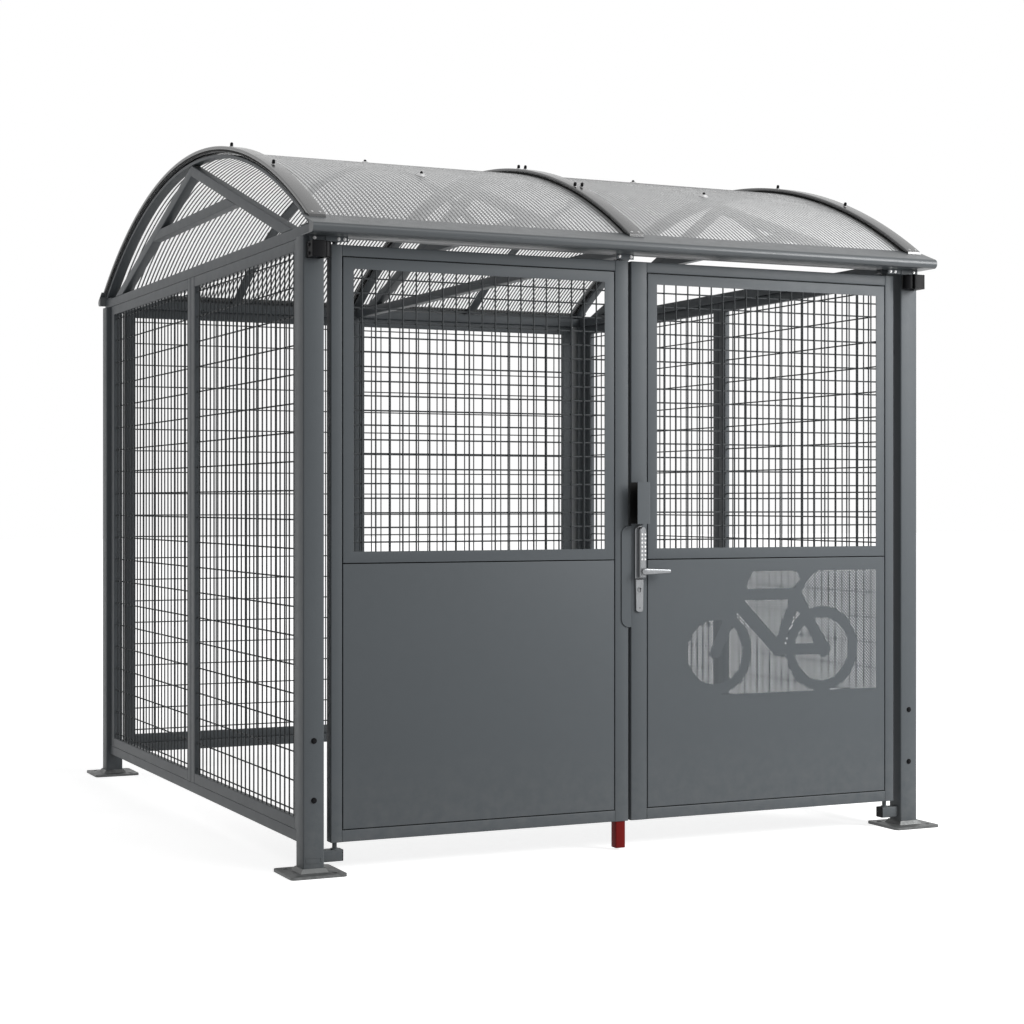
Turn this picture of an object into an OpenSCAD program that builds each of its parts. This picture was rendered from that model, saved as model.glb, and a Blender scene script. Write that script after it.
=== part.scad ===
// Bike shelter: four posts on base plates, mesh walls on three sides, two hinged doors
// at the front and a curved roof of ribbed sheets on three trusses.
// Lengths in millimetres, +Z up, doors toward -Y, ground at Z = 0.

/* [Overall] */
// width across the outer faces of the posts
width = 2515; // [1900:5:3200]
// depth across the outer faces of the posts
depth = 2817; // [2100:1:3600]
// height of the post tops
post_top = 2158; // [1800:1:2600]
// rise of the roof from above the front posts to its crown
roof_rise = 401.6; // [250:0.1:600]
// height of the roof surface over the post tops at the front faces
roof_start = 91; // [85:0.5:130]

/* [Posts and feet] */
// side of the square posts
post_size = 75; // [60:1:100]
// wall of the post tube
post_wall = 3; // [2:0.5:6]
// side of the square base plates
plate_size = 200; // [160:5:260]
// thickness of the base plates
plate_thick = 10; // [6:1:15]
// corner radius of the base plates
plate_corner = 15; // [5:1:30]
// distance of each anchor hole from the post centre, along X and along Y
anchor_offset = 65; // [55:1:90]
// diameter of the anchor holes
anchor_hole = 18; // [12:0.5:24]
// height of the collar round the post foot
collar_height = 14; // [8:1:30]
// width of the collar on the plate, beyond the post
collar_foot = 13; // [6:1:25]
// width of the collar at its top, beyond the post
collar_lip = 3; // [2:0.5:6]

/* [Beams] */
// side of the square rails, ties and rafters
beam = 40; // [30:1:60]
// wall of the hollow rails
beam_wall = 2; // [1.5:0.5:5]
// height of the lower rails' underside
rail_low = 97.5; // [60:0.5:200]
// distance of the rafter foot from the front faces
rafter_start = 165; // [100:5:300]
// height of the collar tie's underside over the tie beam
collar_tie_up = 174; // [100:1:260]
// thickness of the seats that carry the arched bars
seat_thick = 4; // [3:1:8]

/* [Roof] */
// width of the arched covers
cover_width = 60; // [40:1:90]
// thickness of the covers' caps
cover_cap = 13; // [8:1:20]
// thickness of the seals under the caps
cover_seal = 7; // [4:1:12]
// inset of the seals under the caps' sides
seal_inset = 4; // [1:0.5:10]
// setback of the end covers from the outer post faces
cover_inset = 7.5; // [0:0.5:20]
// thickness of the roof sheets
sheet_thick = 10; // [6:1:16]
// depth of the arched bars
arch_depth = 13.4; // [10:0.1:30]
// width of the mid-bay sheet supports
support_width = 40; // [20:1:60]
// thickness of the mid-bay sheet supports
support_depth = 6; // [4:1:10]
// how far the sheets reach past the outer post faces, front and back
sheet_over = 12; // [5:1:16]
// how far the covers reach past the outer post faces, front and back
cover_over = 37; // [20:1:45]

/* [Gutters] */
// wall of the gutters
gutter_wall = 3; // [2:0.5:4]
// radius of the front gutter's nose
nose_r = 18; // [12:0.5:24]
// distance of the front nose centre from the post faces
nose_out = 102; // [90:1:130]
// radius of the back eave's nose
back_nose_r = 16; // [10:0.5:20]
// distance of the back nose centre from the post faces
back_nose_out = 39; // [34:1:60]
// height of the back nose centre over the post tops
back_nose_up = 29; // [24:1:40]
// how far the gutters reach past the outer post faces, left and right
gutter_side = 7; // [0:1:30]
// reach of the eave flanges behind the post faces
eave_tip = 6; // [2:1:20]

/* [Mesh walls] */
// thickness of the wall panels' frames
frame_thick = 25; // [15:1:35]
// gap between a wall panel and a post
panel_gap = 20; // [10:1:40]
// width of the wall panels' stiles
stile = 50; // [30:1:70]
// width of the two stiles that meet in the middle of the back wall
back_stile = 26; // [20:1:50]
// height of the wall panels' rails
panel_rail = 40; // [25:1:60]
// diameter of the wires
wire = 5; // [3:0.5:8]
// spacing of the upright wires
wire_pitch = 50; // [30:1:100]
// spacing of the level wires
wire_rise = 100; // [50:1:200]
// setback of the wires from the panels' outer faces
wire_inset = 5; // [2:0.5:10]

/* [Doors] */
// gap between the left post and its door
side_gap = 24.5; // [20:0.5:40]
// gap between the right post and its door
right_gap = 34; // [20:0.5:45]
// gap between the two doors
mid_gap = 12; // [8:0.5:20]
// height of the doors' undersides
door_low = 105; // [60:1:150]
// gap between the doors' tops and the post tops
door_top_gap = 26; // [20:1:40]
// thickness of the doors
door_thick = 45; // [35:1:60]
// width of the hinge stiles
hinge_stile = 40; // [35:1:60]
// width of the meeting stiles
lock_stile = 60; // [52:1:80]
// height of the doors' bottom rails
door_rail = 40; // [30:1:60]
// height of the doors' top rails
door_top_rail = 38; // [30:1:60]
// wall of the door tubes
door_wall = 2; // [1.5:0.5:4]
// width of the window's border
border = 39; // [25:1:60]
// depth of the folded door sheets
fold_depth = 30; // [15:1:40]
// thickness of the folded door sheets
sheet_gauge = 2; // [1:0.5:3]
// height of the lower sheet's top edge
lower_sheet_top = 1050; // [700:5:1400]
// spacing of the door mesh's wires
door_pitch = 50; // [30:1:100]

/* [Pivots] */
// diameter of the pivot pins
pivot_pin = 16; // [12:0.5:20]
// running clearance of pins in their bores, on the radius
pin_fit = 0.05; // [0.02:0.01:0.1]
// distance of the pivots from the doors' hinge edges
pivot_in = 23; // [18:0.5:30]
// distance of the pivots behind the doors' front faces
pivot_back = 30; // [20:0.5:32]
// length of the pivot brackets
bracket_long = 75; // [60:1:100]
// height of the lower brackets' underside
bracket_low = 38; // [20:1:50]
// length of the pins inside the doors
pin_deep = 30; // [15:1:40]
// thickness of the upper pivot plates
upper_plate = 12; // [6:1:16]

/* [Head blocks] */
// width of the head blocks
block_wide = 48; // [30:1:60]
// reach of the head blocks in front of the posts
block_reach = 66; // [50:1:90]
// height of the head blocks
block_tall = 55; // [30:1:80]
// gap between the head blocks and the post tops
block_drop = 23; // [10:1:60]
// radius of the head blocks' cylinders
block_r = 25; // [15:1:26]

/* [Lock and handles] */
// width of the keypad case
case_wide = 27; // [24:1:50]
// width of the case's base on the door
base_wide = 37; // [28:1:54]
// depth of the case's base
base_deep = 9; // [4:1:14]
// distance of the base and the keyhole plate from the spindle, toward the door's edge
base_aside = 4; // [0:1:8]
// height of the keypad case's underside
case_low = 983; // [800:1:1200]
// height of the keypad case
case_tall = 187; // [120:1:260]
// depth of the keypad case
case_deep = 28; // [18:1:40]
// width of the keyhole plate
key_wide = 33; // [28:1:50]
// height of the keyhole plate
key_tall = 118; // [60:1:160]
// thickness of the keyhole plate
key_thick = 8; // [4:1:12]
// height of the lever's spindle over the case's underside
lever_up = 25; // [18:1:60]
// length of the lever
lever_long = 106; // [80:1:150]
// height of the lever at its hub
lever_tall = 24; // [18:1:34]
// height of the lever at its end
lever_tip = 14; // [8:1:18]
// thickness of the lever
lever_thick = 12; // [8:1:16]
// diameter of the lever's spindle
spindle = 16; // [10:0.5:18]
// height of the pull's underside
pull_low = 1180; // [1175:1:1400]
// height of the pull
pull_tall = 151; // [100:1:250]
// reach of the pull in front of the door
pull_reach = 50; // [40:1:80]
// width of the pull
pull_wide = 54; // [40:1:70]
// thickness of the pull's sheet
pull_gauge = 3; // [2:0.5:4]
// height of the guard plate's underside
guard_low = 806; // [600:1:900]
// height of the guard plate
guard_tall = 367; // [200:1:400]
// width of the guard plate
guard_wide = 40; // [30:1:55]
// thickness of the guard plate
guard_thick = 4; // [2:0.5:6]

/* [Drop bolt] */
// side of the square drop bolt
bolt_side = 38; // [25:1:40]
// clearance round the drop bolt in its guides
bolt_fit = 0.3; // [0.2:0.05:1]
// height of the drop bolt's lower end
bolt_low = 8; // [5:1:30]
// length of the drop bolt
bolt_long = 500; // [350:5:700]
// travel of the drop bolt
bolt_travel = 90; // [50:5:110]
// thickness of the bolt's guides
guide_thick = 4; // [3:0.5:8]

/* [Hidden] */
fit = 0.3;
eps = 0.5;
inset = (post_size - beam) / 2;
half = depth / 2;
arc_r = (half * half + roof_rise * roof_rise) / (2 * roof_rise);
arc_z = post_top + roof_start + roof_rise - arc_r;
seal_r = arc_r - cover_cap;
sheet_r = seal_r - cover_seal;
sheet_in_r = sheet_r - sheet_thick;
arch_r = sheet_in_r - fit;
arch_in_r = arch_r - arch_depth;
crown_under = arc_z + arch_in_r;
tie_top = post_top + beam;
seat_long = 110;
seat_top = tie_top + seat_thick;
rafter_rise = crown_under - fit - tie_top;
rafter_run = half - rafter_start;
rafter_angle = atan2(rafter_rise, rafter_run);
tie_front = -nose_out + 28;
tie_back = depth + back_nose_out - 19;
truss_x = [post_size / 2, width / 2, width - post_size / 2];
cover_x = [cover_inset + cover_width / 2, width / 2, width - cover_inset - cover_width / 2];
plate_out = (plate_size - post_size) / 2;
y_front = -nose_out - nose_r;
y_back = depth + max(plate_out, back_nose_out + back_nose_r);
y_mid = (y_front + y_back) / 2;
nose_z = post_top - gutter_wall + nose_r;
flange_tip_z = arc_z + sqrt(sheet_r * sheet_r - (half - eave_tip) * (half - eave_tip)) + gutter_wall;
back_nose_z = post_top + back_nose_up;
wall_low = rail_low + beam + fit;
wall_high = post_top - fit;
wall_mid = (wall_low + wall_high) / 2;
leaf_w = (width - 2 * post_size - side_gap - right_gap - mid_gap) / 2;
door_shift = right_gap - side_gap;
leaf_left = post_size + side_gap;
leaf_top = post_top - door_top_gap;
leaf_h = leaf_top - door_low;
infill_low = door_low + door_rail;
infill_top = leaf_top - door_top_rail;
window_low = lower_sheet_top + border;
window_top = infill_top - border;
pivot_x = leaf_left + pivot_in;
meet_left = leaf_left + leaf_w;
meet_right = width - door_shift - meet_left;
bolt_x = meet_left - lock_stile / 2 - 5;
bolt_y = door_thick / 2;
lock_x = meet_right + lock_stile / 2;
lever_z = case_low + lever_up;
lever_y = -case_deep - 7 - lever_thick / 2;
key_low = case_low - 4 - key_tall;

// moves the shelter so that its footprint is centred on the origin
module placed() {
  translate([-width / 2, -y_mid, 0]) children();
}

// flips a piece from the left half to the right half
module flipped() {
  translate([width, 0, 0]) mirror([1, 0, 0]) children();
}

// flips a left door's piece to the right door
module flipped_door() {
  translate([width - door_shift, 0, 0]) mirror([1, 0, 0]) children();
}

// carries a section drawn in (Y, Z) along X
module along_x(x0, w) {
  translate([x0, 0, 0]) rotate([90, 0, 90]) linear_extrude(w) children();
}

// slab of the roof between two radii, from y0 to y1 and above z0
module arc_band(r_out, r_in, y0, y1, z0) {
  intersection() {
    translate([half, arc_z]) difference() {
      circle(r_out, $fn = 720);
      circle(r_in, $fn = 720);
    }
    translate([y0, z0]) square([y1 - y0, arc_z + r_out]);
  }
}

module square_tube(size, wall, low, high, cap) {
  difference() {
    translate([0, 0, low]) cube([size, size, high - low]);
    translate([wall, wall, low - eps]) cube([size - 2 * wall, size - 2 * wall, high - low + eps - cap]);
  }
}

module post(x, y) {
  color("#4a4f54") placed() translate([x, y, 0])
    square_tube(post_size, post_wall, plate_thick + fit, post_top, post_wall);
}
module post_front_left() { post(0, 0); }
module post_front_right() { post(width - post_size, 0); }
module post_back_left() { post(0, depth - post_size); }
module post_back_right() { post(width - post_size, depth - post_size); }

module base_plate(x, y) {
  translate([x, y, 0]) difference() {
    union() {
      linear_extrude(plate_thick) {
        square([plate_size, plate_size - 2 * plate_corner], center = true);
        square([plate_size - 2 * plate_corner, plate_size], center = true);
        for (i = [-1, 1], j = [-1, 1])
          translate([i * (plate_size / 2 - plate_corner), j * (plate_size / 2 - plate_corner)])
            circle(plate_corner, $fn = 32);
      }
      translate([0, 0, plate_thick - eps]) rotate([0, 0, 45])
        cylinder(h = collar_height + eps, r1 = (post_size / 2 + collar_foot) * sqrt(2),
          r2 = (post_size / 2 + collar_lip) * sqrt(2), $fn = 4);
    }
    translate([-post_size / 2 - fit, -post_size / 2 - fit, plate_thick])
      cube([post_size + 2 * fit, post_size + 2 * fit, collar_height + 1]);
    translate([-anchor_offset, anchor_offset, -1]) cylinder(h = plate_thick + 2, d = anchor_hole, $fn = 32);
    translate([anchor_offset, -anchor_offset, -1]) cylinder(h = plate_thick + 2, d = anchor_hole, $fn = 32);
  }
}
module base_plates() {
  color("#9aa0a3") placed()
    for (x = [post_size / 2, width - post_size / 2], y = [post_size / 2, depth - post_size / 2])
      base_plate(x, y);
}

// open-ended square tube along Y from y0 to y1
module tube_y(x, y0, y1, z) {
  difference() {
    translate([x, y0, z]) cube([beam, y1 - y0, beam]);
    translate([x + beam_wall, y0 - eps, z + beam_wall])
      cube([beam - 2 * beam_wall, y1 - y0 + 2 * eps, beam - 2 * beam_wall]);
  }
}
// open-ended square tube along X from x0 to x1
module tube_x(x0, x1, y, z) {
  difference() {
    translate([x0, y, z]) cube([x1 - x0, beam, beam]);
    translate([x0 - eps, y + beam_wall, z + beam_wall])
      cube([x1 - x0 + 2 * eps, beam - 2 * beam_wall, beam - 2 * beam_wall]);
  }
}
module lower_rails() {
  color("#4a4f54") placed() {
    tube_y(inset, post_size + fit, depth - post_size - fit, rail_low);
    tube_y(width - inset - beam, post_size + fit, depth - post_size - fit, rail_low);
    tube_x(post_size + fit, width - post_size - fit, depth - inset - beam, rail_low);
  }
}
module eave_beams() {
  color("#4a4f54") placed() {
    tube_x(inset + beam + fit, width - inset - beam - fit, inset, post_top);
    tube_x(inset + beam + fit, width - inset - beam - fit, depth - inset - beam, post_top);
  }
}

// half of a truss's rafters in (Y, Z), from the foot to the crown
module rafter_half() {
  intersection() {
    translate([rafter_start, tie_top]) rotate(rafter_angle)
      translate([-beam, -beam]) square([rafter_run / cos(rafter_angle) + 2 * beam, beam]);
    translate([0, tie_top + fit]) square([half - fit, rafter_rise - fit]);
  }
}
module truss(x, y0, y1) {
  color("#4a4f54") placed() along_x(x - beam / 2, beam) {
    translate([y0, post_top]) square([y1 - y0, beam]);
    translate([-sheet_over - 12, tie_top + fit]) square([seat_long, seat_thick - fit]);
    translate([depth + sheet_over + 8 - seat_long, tie_top + fit]) square([seat_long, seat_thick - fit]);
    rafter_half();
    translate([depth, 0]) mirror([1, 0]) rafter_half();
    collar_tie();
  }
}
// inner face of a rafter at height z above the tie
function rafter_face(z) = rafter_start + z / tan(rafter_angle) + (beam + fit) / sin(rafter_angle);
module collar_tie() {
  low = collar_tie_up;
  high = collar_tie_up + beam;
  translate([0, tie_top]) polygon([
    [rafter_face(low), low], [depth - rafter_face(low), low],
    [depth - rafter_face(high), high], [rafter_face(high), high]
  ]);
}
module truss_left() { truss(truss_x[0], tie_front, tie_back); }
module truss_middle() { truss(truss_x[1], inset + beam + fit, depth - inset - beam - fit); }
module truss_right() { truss(truss_x[2], tie_front, tie_back); }

module arch_bars() {
  color("#4a4f54") placed() {
    for (x = truss_x)
      along_x(x - beam / 2, beam) arc_band(arch_r, arch_in_r, -60, depth + 60, seat_top + fit);
    for (i = [0, 1])
      along_x((truss_x[i] + truss_x[i + 1]) / 2 - support_width / 2, support_width)
        arc_band(arch_r, arch_r - support_depth, -60, depth + 60, seat_top + fit);
  }
}

module roof_sheet_left() {
  color("#d5dade") placed() along_x(cover_inset + 2, width / 2 - 1 - cover_inset - 2)
    arc_band(sheet_r - fit, sheet_in_r, -sheet_over, depth + sheet_over, 0);
}
module roof_sheet_right() {
  color("#d5dade") placed() along_x(width / 2 + 1, width / 2 - 1 - cover_inset - 2)
    arc_band(sheet_r - fit, sheet_in_r, -sheet_over, depth + sheet_over, 0);
}

module above_eaves() {
  difference() {
    children();
    flange_room(-nose_out, nose_z, nose_r);
    translate([depth, 0]) mirror([1, 0]) flange_room(-back_nose_out, back_nose_z, back_nose_r);
  }
}
module arch_covers() {
  color("#5a6065") placed() for (x = cover_x) {
    along_x(x - cover_width / 2, cover_width)
      above_eaves() arc_band(arc_r, seal_r, -cover_over, depth + cover_over, 0);
    along_x(x - cover_width / 2 + seal_inset, cover_width - 2 * seal_inset)
      above_eaves() arc_band(seal_r + eps, sheet_r, -cover_over, depth + cover_over, 0);
  }
}

// slope of an eave flange from the nose at (y, z) with radius r to the roof sheet
function flange_angle(y, z, r) =
  atan2(flange_tip_z - z, eave_tip - y)
  - asin(r / sqrt(pow(flange_tip_z - z, 2) + pow(eave_tip - y, 2)));
function flange_long(y, z, r) = sqrt(pow(flange_tip_z - z, 2) + pow(eave_tip - y, 2) - r * r);

// room taken by the flange and all that lies under it, for cutting the covers
module flange_room(y, z, r) {
  translate([y, z]) rotate(flange_angle(y, z, r))
    translate([-60, -300]) square([flange_long(y, z, r) + 60, 300 + r + fit]);
}
// points of an arc about (y, z) from angle t0 to t1
function arc_points(y, z, r, t0, t1) =
  [for (i = [0:20]) [y + r * cos(t0 + (t1 - t0) * i / 20), z + r * sin(t0 + (t1 - t0) * i / 20)]];
// end of an eave flange, off from its inner line by r
function flange_end(y, z, r, a, long) =
  [y + r * cos(90 + a) + long * cos(a), z + r * sin(90 + a) + long * sin(a)];
// height of an eave flange's middle at the web
function flange_at(y, z, r, web) =
  z + (r - gutter_wall / 2) / cos(flange_angle(y, z, r)) + (web - y) * tan(flange_angle(y, z, r));

// section of an eave profile: floor, rounded nose, sloping flange and web
module eave_section(y, z, r, web, floor_to) {
  a = flange_angle(y, z, r);
  long = flange_long(y, z, r);
  ri = r - gutter_wall;
  polygon(concat(
    [[floor_to, z - r]],
    arc_points(y, z, r, 270, 90 + a),
    [flange_end(y, z, r, a, long)],
    [flange_end(y, z, ri, a, long)],
    arc_points(y, z, ri, 90 + a, 270),
    [[floor_to, z - ri]]
  ));
  translate([web - gutter_wall, z - r + gutter_wall / 2])
    square([gutter_wall, flange_at(y, z, r, web - gutter_wall) - z + r - gutter_wall / 2]);
}
// closed end of an eave profile
module eave_end(y, z, r, web) {
  a = flange_angle(y, z, r);
  rm = r - gutter_wall / 2;
  back = web - gutter_wall / 2;
  polygon(concat(
    arc_points(y, z, rm, 270, 90 + a),
    [[back, flange_at(y, z, r, back)], [back, z - rm]]
  ));
}
module eave(y, z, r, web, floor_to) {
  along_x(-gutter_side, width + 2 * gutter_side) eave_section(y, z, r, web, floor_to);
  along_x(-gutter_side + eps, gutter_wall) eave_end(y, z, r, web);
  along_x(width + gutter_side - gutter_wall - eps, gutter_wall) eave_end(y, z, r, web);
}
module gutter_front() {
  color("#4a4f54") placed() eave(-nose_out, nose_z, nose_r, tie_front - fit, -1);
}
module gutter_back() {
  web = -(tie_back - depth) - fit;
  color("#4a4f54") placed() translate([0, depth, 0]) mirror([0, 1, 0])
    eave(-back_nose_out, back_nose_z, back_nose_r, web, web - 1);
}

// frame of one half of a side wall, from y0 to y1
module side_frame(y0, y1) {
  difference() {
    translate([inset, y0, wall_low]) cube([frame_thick, y1 - y0, wall_high - wall_low]);
    translate([inset - 1, y0 + stile, wall_low + panel_rail])
      cube([frame_thick + 2, y1 - y0 - 2 * stile, wall_high - wall_low - 2 * panel_rail]);
  }
}
module side_frames() {
  side_frame(post_size + panel_gap, half - fit);
  side_frame(half + fit, depth - post_size - panel_gap);
}
module frame_left() { color("#50565b") placed() side_frames(); }
module frame_right() { color("#50565b") placed() flipped() side_frames(); }
module back_frame(x0, x1) {
  difference() {
    translate([x0, depth - inset - frame_thick, wall_low]) cube([x1 - x0, frame_thick, wall_high - wall_low]);
    translate([x0 + stile, depth - inset - frame_thick - 1, wall_low + panel_rail])
      cube([x1 - x0 - stile - back_stile, frame_thick + 2, wall_high - wall_low - 2 * panel_rail]);
  }
}
module frame_back() {
  color("#50565b") placed() {
    back_frame(post_size + panel_gap, width / 2 - fit);
    flipped() back_frame(post_size + panel_gap, width / 2 - fit);
  }
}

// flat lattice w wide and h tall, drawn from its lower left corner
module lattice(w, h, first_u, pitch_u, first_v, pitch_v) {
  nu = floor((w - first_u - wire) / pitch_u) + 1;
  nv = floor((h - first_v - wire) / pitch_v) + 1;
  linear_extrude(wire) difference() {
    square([w, h]);
    for (i = [0:nu], j = [0:nv]) {
      u0 = i == 0 ? -1 : first_u + (i - 1) * pitch_u + wire / 2;
      u1 = i == nu ? w + 1 : first_u + i * pitch_u - wire / 2;
      v0 = j == 0 ? -1 : first_v + (j - 1) * pitch_v + wire / 2;
      v1 = j == nv ? h + 1 : first_v + j * pitch_v - wire / 2;
      translate([u0, v0]) square([u1 - u0, v1 - v0]);
    }
  }
}
mesh_low = wall_low + panel_rail + fit;
mesh_high = wall_high - panel_rail - fit;
mesh_rows = floor((mesh_high - mesh_low - 21) / wire_rise) + 1;
mesh_split = mesh_low + 20.5 + (floor(mesh_rows / 2) - 0.5) * wire_rise;
first_low = 20.5;
first_high = wire_rise / 2 - fit;
half_bay = half - fit - post_size - panel_gap - 2 * stile - 2 * fit;
half_back = width / 2 - fit - post_size - panel_gap - stile - back_stile - 2 * fit;
side_first = 22;
wire_edge = 37;

// lattice standing in the Y-Z plane, lower corner at (x, y)
module side_mesh(y, high) {
  z = high ? mesh_split + fit : mesh_low;
  h = high ? mesh_high - mesh_split - fit : mesh_split - mesh_low;
  translate([inset + wire_inset, y, z]) rotate([90, 0, 90])
    lattice(half_bay, h, side_first, wire_pitch, high ? first_high : first_low, wire_rise);
}
front_y = post_size + panel_gap + stile + fit;
back_y = half + fit + stile + fit;
module mesh_left_front_low() { color("#3f4347") placed() side_mesh(front_y, false); }
module mesh_left_front_high() { color("#3f4347") placed() side_mesh(front_y, true); }
module mesh_left_back_low() { color("#3f4347") placed() side_mesh(back_y, false); }
module mesh_left_back_high() { color("#3f4347") placed() side_mesh(back_y, true); }
module mesh_right_front_low() { color("#3f4347") placed() flipped() side_mesh(front_y, false); }
module mesh_right_front_high() { color("#3f4347") placed() flipped() side_mesh(front_y, true); }
module mesh_right_back_low() { color("#3f4347") placed() flipped() side_mesh(back_y, false); }
module mesh_right_back_high() { color("#3f4347") placed() flipped() side_mesh(back_y, true); }

module back_mesh(x, high) {
  z = high ? mesh_split + fit : mesh_low;
  h = high ? mesh_high - mesh_split - fit : mesh_split - mesh_low;
  rows = high ? first_high : first_low;
  columns = (half_back - floor((half_back - 2 * wire_edge) / wire_pitch) * wire_pitch) / 2;
  translate([x, depth - inset - wire_inset, z]) rotate([90, 0, 0])
    lattice(half_back, h, columns, wire_pitch, rows, wire_rise);
}
module mesh_back_left_low() { color("#3f4347") placed() back_mesh(front_y, false); }
module mesh_back_left_high() { color("#3f4347") placed() back_mesh(front_y, true); }
module mesh_back_right_low() { color("#3f4347") placed() back_mesh(width / 2 + fit + back_stile + fit, false); }
module mesh_back_right_high() { color("#3f4347") placed() back_mesh(width / 2 + fit + back_stile + fit, true); }

module head_block() {
  low = post_top - block_drop - block_tall;
  translate([10, -block_reach, low]) cube([block_wide, block_reach, block_tall]);
  translate([62, -31, low]) cylinder(h = block_tall, r = block_r, $fn = 48);
}
module head_blocks() {
  color("#1c1d1f") placed() {
    head_block();
    flipped() head_block();
  }
}

// lower bracket and upper plate of one door, with their pins at px
module pivot_pair(px) {
  bracket_top = bracket_low + beam;
  translate([post_size + fit, inset, bracket_low]) cube([bracket_long, beam, beam]);
  translate([px, pivot_back, bracket_top - eps])
    cylinder(h = door_low + pin_deep - bracket_top + eps, d = pivot_pin, $fn = 32);
  translate([post_size + fit, inset, post_top - fit - upper_plate]) cube([bracket_long, beam, upper_plate]);
  translate([px, pivot_back, leaf_top - pin_deep])
    cylinder(h = post_top - fit - upper_plate - leaf_top + pin_deep + eps, d = pivot_pin, $fn = 32);
}
module pivot_brackets() {
  color("#4a4f54") placed() {
    pivot_pair(pivot_x);
    flipped() pivot_pair(pivot_x + door_shift);
  }
}

// outer ring of a door, left hand, with bores for its pivot pins
module door_ring() {
  difference() {
    translate([leaf_left, 0, door_low]) cube([leaf_w, door_thick, leaf_h]);
    translate([leaf_left + hinge_stile, -1, infill_low])
      cube([leaf_w - hinge_stile - lock_stile, door_thick + 2, infill_top - infill_low]);
    translate([meet_left - lock_stile + door_wall, door_wall, door_low - 1])
      cube([lock_stile - 2 * door_wall, door_thick - 2 * door_wall, leaf_h + 1 - door_wall]);
    translate([pivot_x, pivot_back, door_low - 1])
      cylinder(h = pin_deep + 2, r = pivot_pin / 2 + pin_fit, $fn = 32);
    translate([pivot_x, pivot_back, leaf_top - pin_deep - 1])
      cylinder(h = pin_deep + 2, r = pivot_pin / 2 + pin_fit, $fn = 32);
  }
}
pin_z = bolt_low + bolt_long * 0.6;
module door_left_frame() {
  color("#4a4f54") placed() {
    difference() {
      door_ring();
      translate([bolt_x - 6, door_thick - door_wall - 1, pin_z - 6])
        cube([12, door_wall + 2, bolt_travel + 12]);
    }
    bolt_guide(door_low);
    bolt_guide(pin_z + bolt_travel + 32);
  }
}
// plate across the meeting stile with a square hole for the drop bolt
module bolt_guide(z) {
  difference() {
    translate([meet_left - lock_stile + eps, eps, z]) cube([lock_stile - 2 * eps, door_thick - 2 * eps, guide_thick]);
    translate([bolt_x - bolt_side / 2 - bolt_fit, bolt_y - bolt_side / 2 - bolt_fit, z - 1])
      cube([bolt_side + 2 * bolt_fit, bolt_side + 2 * bolt_fit, guide_thick + 2]);
  }
}
module door_right_frame() { color("#4a4f54") placed() flipped_door() door_ring(); }

// folded tray: a face with edges turned back, and a window when win_low is under win_high
module door_sheets_left() {
  x0 = leaf_left + hinge_stile + fit;
  x1 = meet_left - lock_stile - fit;
  tray(x0, x1, infill_low + fit, lower_sheet_top - fit);
  difference() {
    tray(x0, x1, lower_sheet_top + fit, infill_top - fit);
    translate([x0 + border, -1, window_low])
      cube([x1 - x0 - 2 * border, fold_depth + 2, window_top - window_low]);
  }
}
module tray(x0, x1, z0, z1) {
  difference() {
    translate([x0, 0, z0]) cube([x1 - x0, fold_depth, z1 - z0]);
    translate([x0 + sheet_gauge, sheet_gauge, z0 + sheet_gauge])
      cube([x1 - x0 - 2 * sheet_gauge, fold_depth, z1 - z0 - 2 * sheet_gauge]);
  }
}
module door_left_sheets() { color("#4a4f54") placed() door_sheets_left(); }
module door_right_sheets() { color("#4a4f54") placed() flipped_door() door_sheets_left(); }

module door_mesh_left() {
  lap = 8;
  w = leaf_w - hinge_stile - lock_stile - 2 * fit - 2 * border + 2 * lap;
  h = window_top - window_low + 2 * lap;
  nu = floor((w - 2 * lap - 40) / door_pitch);
  nv = floor((h - 2 * lap - 30) / door_pitch);
  translate([leaf_left + hinge_stile + fit + border - lap, sheet_gauge + fit + wire, window_low - lap])
    rotate([90, 0, 0])
      lattice(w, h, (w - nu * door_pitch) / 2, door_pitch, (h - nv * door_pitch) / 2, door_pitch);
}
module door_left_mesh() { color("#3f4347") placed() door_mesh_left(); }
module door_right_mesh() { color("#3f4347") placed() flipped_door() door_mesh_left(); }

module guard_plate() {
  r = guard_wide * 0.75;
  x1 = meet_left + 5.5;
  color("#4a4f54") placed() translate([x1, 0, guard_low]) rotate([90, 0, 0]) linear_extrude(guard_thick)
    intersection() {
      translate([-guard_wide, 0]) square([guard_wide, guard_tall]);
      union() {
        translate([-guard_wide, r]) square([guard_wide, guard_tall - 2 * r]);
        translate([-guard_wide + r, 0]) square([guard_wide - r, guard_tall]);
        for (z = [r, guard_tall - r])
          translate([-guard_wide + r, z]) circle(r, $fn = 64);
      }
    }
}

module pull() {
  x0 = meet_right - 6;
  g = pull_gauge;
  r = 10;
  color("#4a4f54") placed() translate([x0, -pull_reach, pull_low]) linear_extrude(pull_tall) difference() {
    union() {
      square([pull_wide - r, pull_reach]);
      translate([pull_wide - r - 1, r]) square([r + 1, pull_reach - r]);
      translate([pull_wide - r, r]) circle(r, $fn = 48);
    }
    translate([-1, g]) square([pull_wide - r + 1, pull_reach - 2 * g]);
    translate([pull_wide - r - 1, r]) square([r + 1 - g, pull_reach - r - g]);
    translate([pull_wide - r, r]) circle(r - g, $fn = 48);
    translate([-1, pull_reach - g - 1]) square([8, g + 2]);
  }
}

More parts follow.
